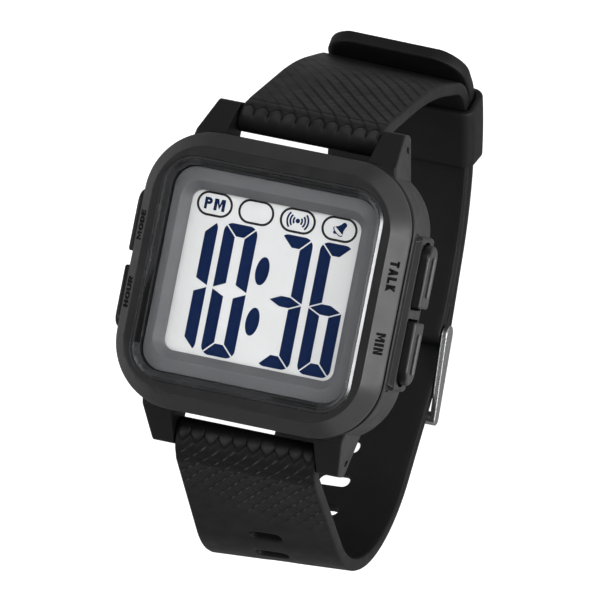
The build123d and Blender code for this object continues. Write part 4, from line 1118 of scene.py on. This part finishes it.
# dark band under the lens's rim: painted shade of the recess seen through the lens
band("lens_rim_painted_shade", [
    (BORDER_OUT, border_high), (BORDER_IN, border_high), (BORDER_IN, border_low), (BORDER_OUT, border_low),
], recess_painted_shade, False)
band("lens_edge", [
    (0.03, lens_top - 0.6), (0.0, lens_top - 0.59), (0.36, lens_top - 0.3), (0.42, lens_top - 0.33),
], edge_polish)


# Raised line on each button, lighter grey than the button: painted highlight

BUTTON_Y, BUTTON_Z = 5.7, 4.75
# Length, width and rise of the line's outlines
LINE_RINGS = ((5.9, 0.7, -0.12), (6.1, 0.9, -0.02), (5.9, 0.72, 0.03), (5.6, 0.45, 0.05))
for place, sx, sy in (("talk", 1, 1), ("min", 1, -1), ("mode", -1, 1), ("hour", -1, -1)):
    low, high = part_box("button_" + place)
    x_top = (high[0] if sx > 0 else -low[0]) / MM
    verts = []
    for long, wide, rise in LINE_RINGS:
        verts += [
            (sx * (x_top + rise), sy * BUTTON_Y + px, BUTTON_Z + py) for px, py in pill(0, 0, long, wide)
        ]
    n = len(verts) // len(LINE_RINGS)
    faces = tube(len(LINE_RINGS), n)
    faces.append(tuple(range(len(verts) - n, len(verts))))
    faces.append(tuple(reversed(range(n))))
    if sx < 0:
        faces = [tuple(reversed(f)) for f in faces]
    bar = finish_mesh("button_line_" + place, verts, faces, button_line_painted_highlight, place + "_button", sharp=40)


# Springs: each is cut at its fixed end, and the part beyond it kept as its own piece on the watch

def coil(name, node, side, fixed):
    """A spring, or its half on one side of the fixed end."""
    shape = bmesh.new()
    shape.from_mesh(nodes[node].data)
    shape.transform(nodes[node].matrix_world)
    bmesh.ops.remove_doubles(shape, verts=shape.verts[:], dist=1e-7)
    cut = bmesh.ops.bisect_plane(
        shape, geom=shape.verts[:] + shape.edges[:] + shape.faces[:], dist=1e-9,
        plane_co=(side * fixed * MM, 0, 0), plane_no=(side, 0, 0), clear_inner=True,
    )
    bmesh.ops.holes_fill(shape, edges=[e for e in cut["geom_cut"] if isinstance(e, bmesh.types.BMEdge)])
    mesh = bpy.data.meshes.new(name)
    shape.to_mesh(mesh)
    shape.free()
    made = add_object(name, mesh)
    mesh.materials.append(nodes[node].data.materials[0])
    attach(made, "watch")
    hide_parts(node)
    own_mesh(made)


BUTTON_SEAT, BUTTON_TRAVEL, TIP_TRAVEL = 19.1, 0.8, 1.6
for place, side in (("talk", 1), ("min", 1), ("mode", -1), ("hour", -1)):
    coil("coil_" + place, "return_spring_" + place, side, BUTTON_SEAT)
for end in ("top", "bottom"):
    for half, side in (("right", 1), ("left", -1)):
        coil(f"coil_{end}_{half}", "bar_spring_" + end, side, 0.0)


# Edges of the carried-over solids
for name, width in (
    ("front_bezel", 0.14), ("case_body", 0.07), ("lens", 0.08), ("display_frame", 0.08),
    ("button_talk", 0.1), ("button_min", 0.1), ("button_mode", 0.1), ("button_hour", 0.1),
    ("back_cover", 0.1), ("buckle_tongue", 0.12),
):
    soften(name, width)


# Studio

def combine(tree, operation, first, second):
    return add_node(tree, "Math", {0: first, 1: second}, operation=operation).outputs[0]


def coordinate(tree, kind, axis):
    where = add_node(tree, "TexCoord").outputs[kind]
    return add_node(tree, "SeparateXYZ", {"Vector": where}).outputs[axis]


def background_seen(tree, extent):
    """1 where the camera sees the white background, extent where metal and lens do, 0 for its light."""
    path = add_node(tree, "LightPath").outputs
    mirrored = combine(tree, "MAXIMUM", path["Is Glossy Ray"], path["Is Transmission Ray"])
    unlit = combine(tree, "LESS_THAN", path["Diffuse Depth"], 0.5)
    mirrored = combine(tree, "MULTIPLY", combine(tree, "MULTIPLY", mirrored, unlit), extent)
    return combine(tree, "MAXIMUM", path["Is Camera Ray"], mirrored)


FLOOR_DROP, FLOOR_HALF = 0.0012, 3  # room for the tongue's swing, and half the floor's width
floor_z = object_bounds()[0][2] - FLOOR_DROP
corners = [(sx * FLOOR_HALF, sy * FLOOR_HALF, floor_z) for sx, sy in ((-1, -1), (1, -1), (1, 1), (-1, 1))]
stage_mesh = bpy.data.meshes.new("floor")
stage_mesh.from_pydata(corners, [], [(0, 1, 2, 3)])
floor = add_object("floor", stage_mesh)
made, tree, shader = tree_of("floor_white")
feed(tree, shader, {"Base Color": (0.4, 0.4, 0.4, 1), "Roughness": 0.9, "Specular IOR Level": 0.1})
paper = add_node(tree, "BsdfDiffuse", {"Color": (0.42, 0.42, 0.42, 1)})
glow = add_node(tree, "Emission", {"Color": (1, 1, 1, 1), "Strength": 0.9})
lit = add_node(tree, "AddShader", {0: paper.outputs[0], 1: glow.outputs[0]})
right_side = ramp(tree, coordinate(tree, "Object", "X"), 0.0, 1.0, 0.03, 0.08)
mix_in(tree, shader, lit, background_seen(tree, right_side))
stage_mesh.materials.append(made)

# Metal and lens show a white backdrop low on the right, and the rest of the room dim
WORLD_LIGHT = 0.28
world = bpy.data.worlds.new("studio")
bpy.context.scene.world = world
world.use_nodes = True
tree = world.node_tree
to_right = ramp(tree, coordinate(tree, "Generated", "X"), 0.0, 1.0, 0.3, 0.7)
down_low = ramp(tree, coordinate(tree, "Generated", "Z"), 1.0, 0.0, 0.1, 0.4)
seen = background_seen(tree, combine(tree, "MULTIPLY", to_right, down_low))
level = ramp(tree, seen, WORLD_LIGHT, 1.0, 0.0, 1.0)
feed(tree, tree.nodes["Background"], {"Color": (1, 1, 1, 1), "Strength": level})


def lamp(name, place, size, power):
    """A soft rectangular lamp that shines on the object."""
    data = bpy.data.lights.new(name, "AREA")
    data.shape = "RECTANGLE"
    data.size, data.size_y = size
    data.energy = power
    made = add_object(name, data)
    made.location = place
    made.rotation_euler = (-Vector(place)).to_track_quat("-Z", "Y").to_euler()


lamp("key_right", (0.6, 0.02, 0.2), (0.27, 0.6), 4.2)
lamp("top", (0.22, 0.3, 0.7), (0.5, 0.4), 2.0)
lamp("left", (-0.7, 0.16, 0.48), (0.35, 0.3), 1.7)
lamp("fill", (-0.46, -0.42, 0.66), (0.4, 0.4), 1.3)


# Camera, by angles and lengths from the dial's middle

DIAL_Z, DISTANCE, SHIFT_RIGHT, SHIFT_DOWN = 14.5, 2000, 6.33, 2.31
yaw, pitch, roll = radians(17.0), radians(1.0), radians(11.2)
back = Vector((sin(yaw) * cos(pitch), sin(pitch), cos(yaw) * cos(pitch)))
level_right = Vector((cos(yaw), 0, -sin(yaw)))
level_up = back.cross(level_right)
right = level_right * cos(roll) + level_up * sin(roll)
up = level_up * cos(roll) - level_right * sin(roll)
view = bpy.data.cameras.new("camera")
view.sensor_width = 36.0
view.sensor_fit = "HORIZONTAL"
view.lens = 824.8
view.clip_start = 0.05
view.clip_end = 30.0
camera = add_object("camera", view)
spot = Vector((0, 0, DIAL_Z)) + back * DISTANCE + right * SHIFT_RIGHT - up * SHIFT_DOWN
turned = Matrix((right, up, back)).transposed().to_4x4()
turned.translation = spot * MM
camera.matrix_world = turned
bpy.context.scene.camera = camera
bpy.context.scene.view_settings.view_transform = "Standard"
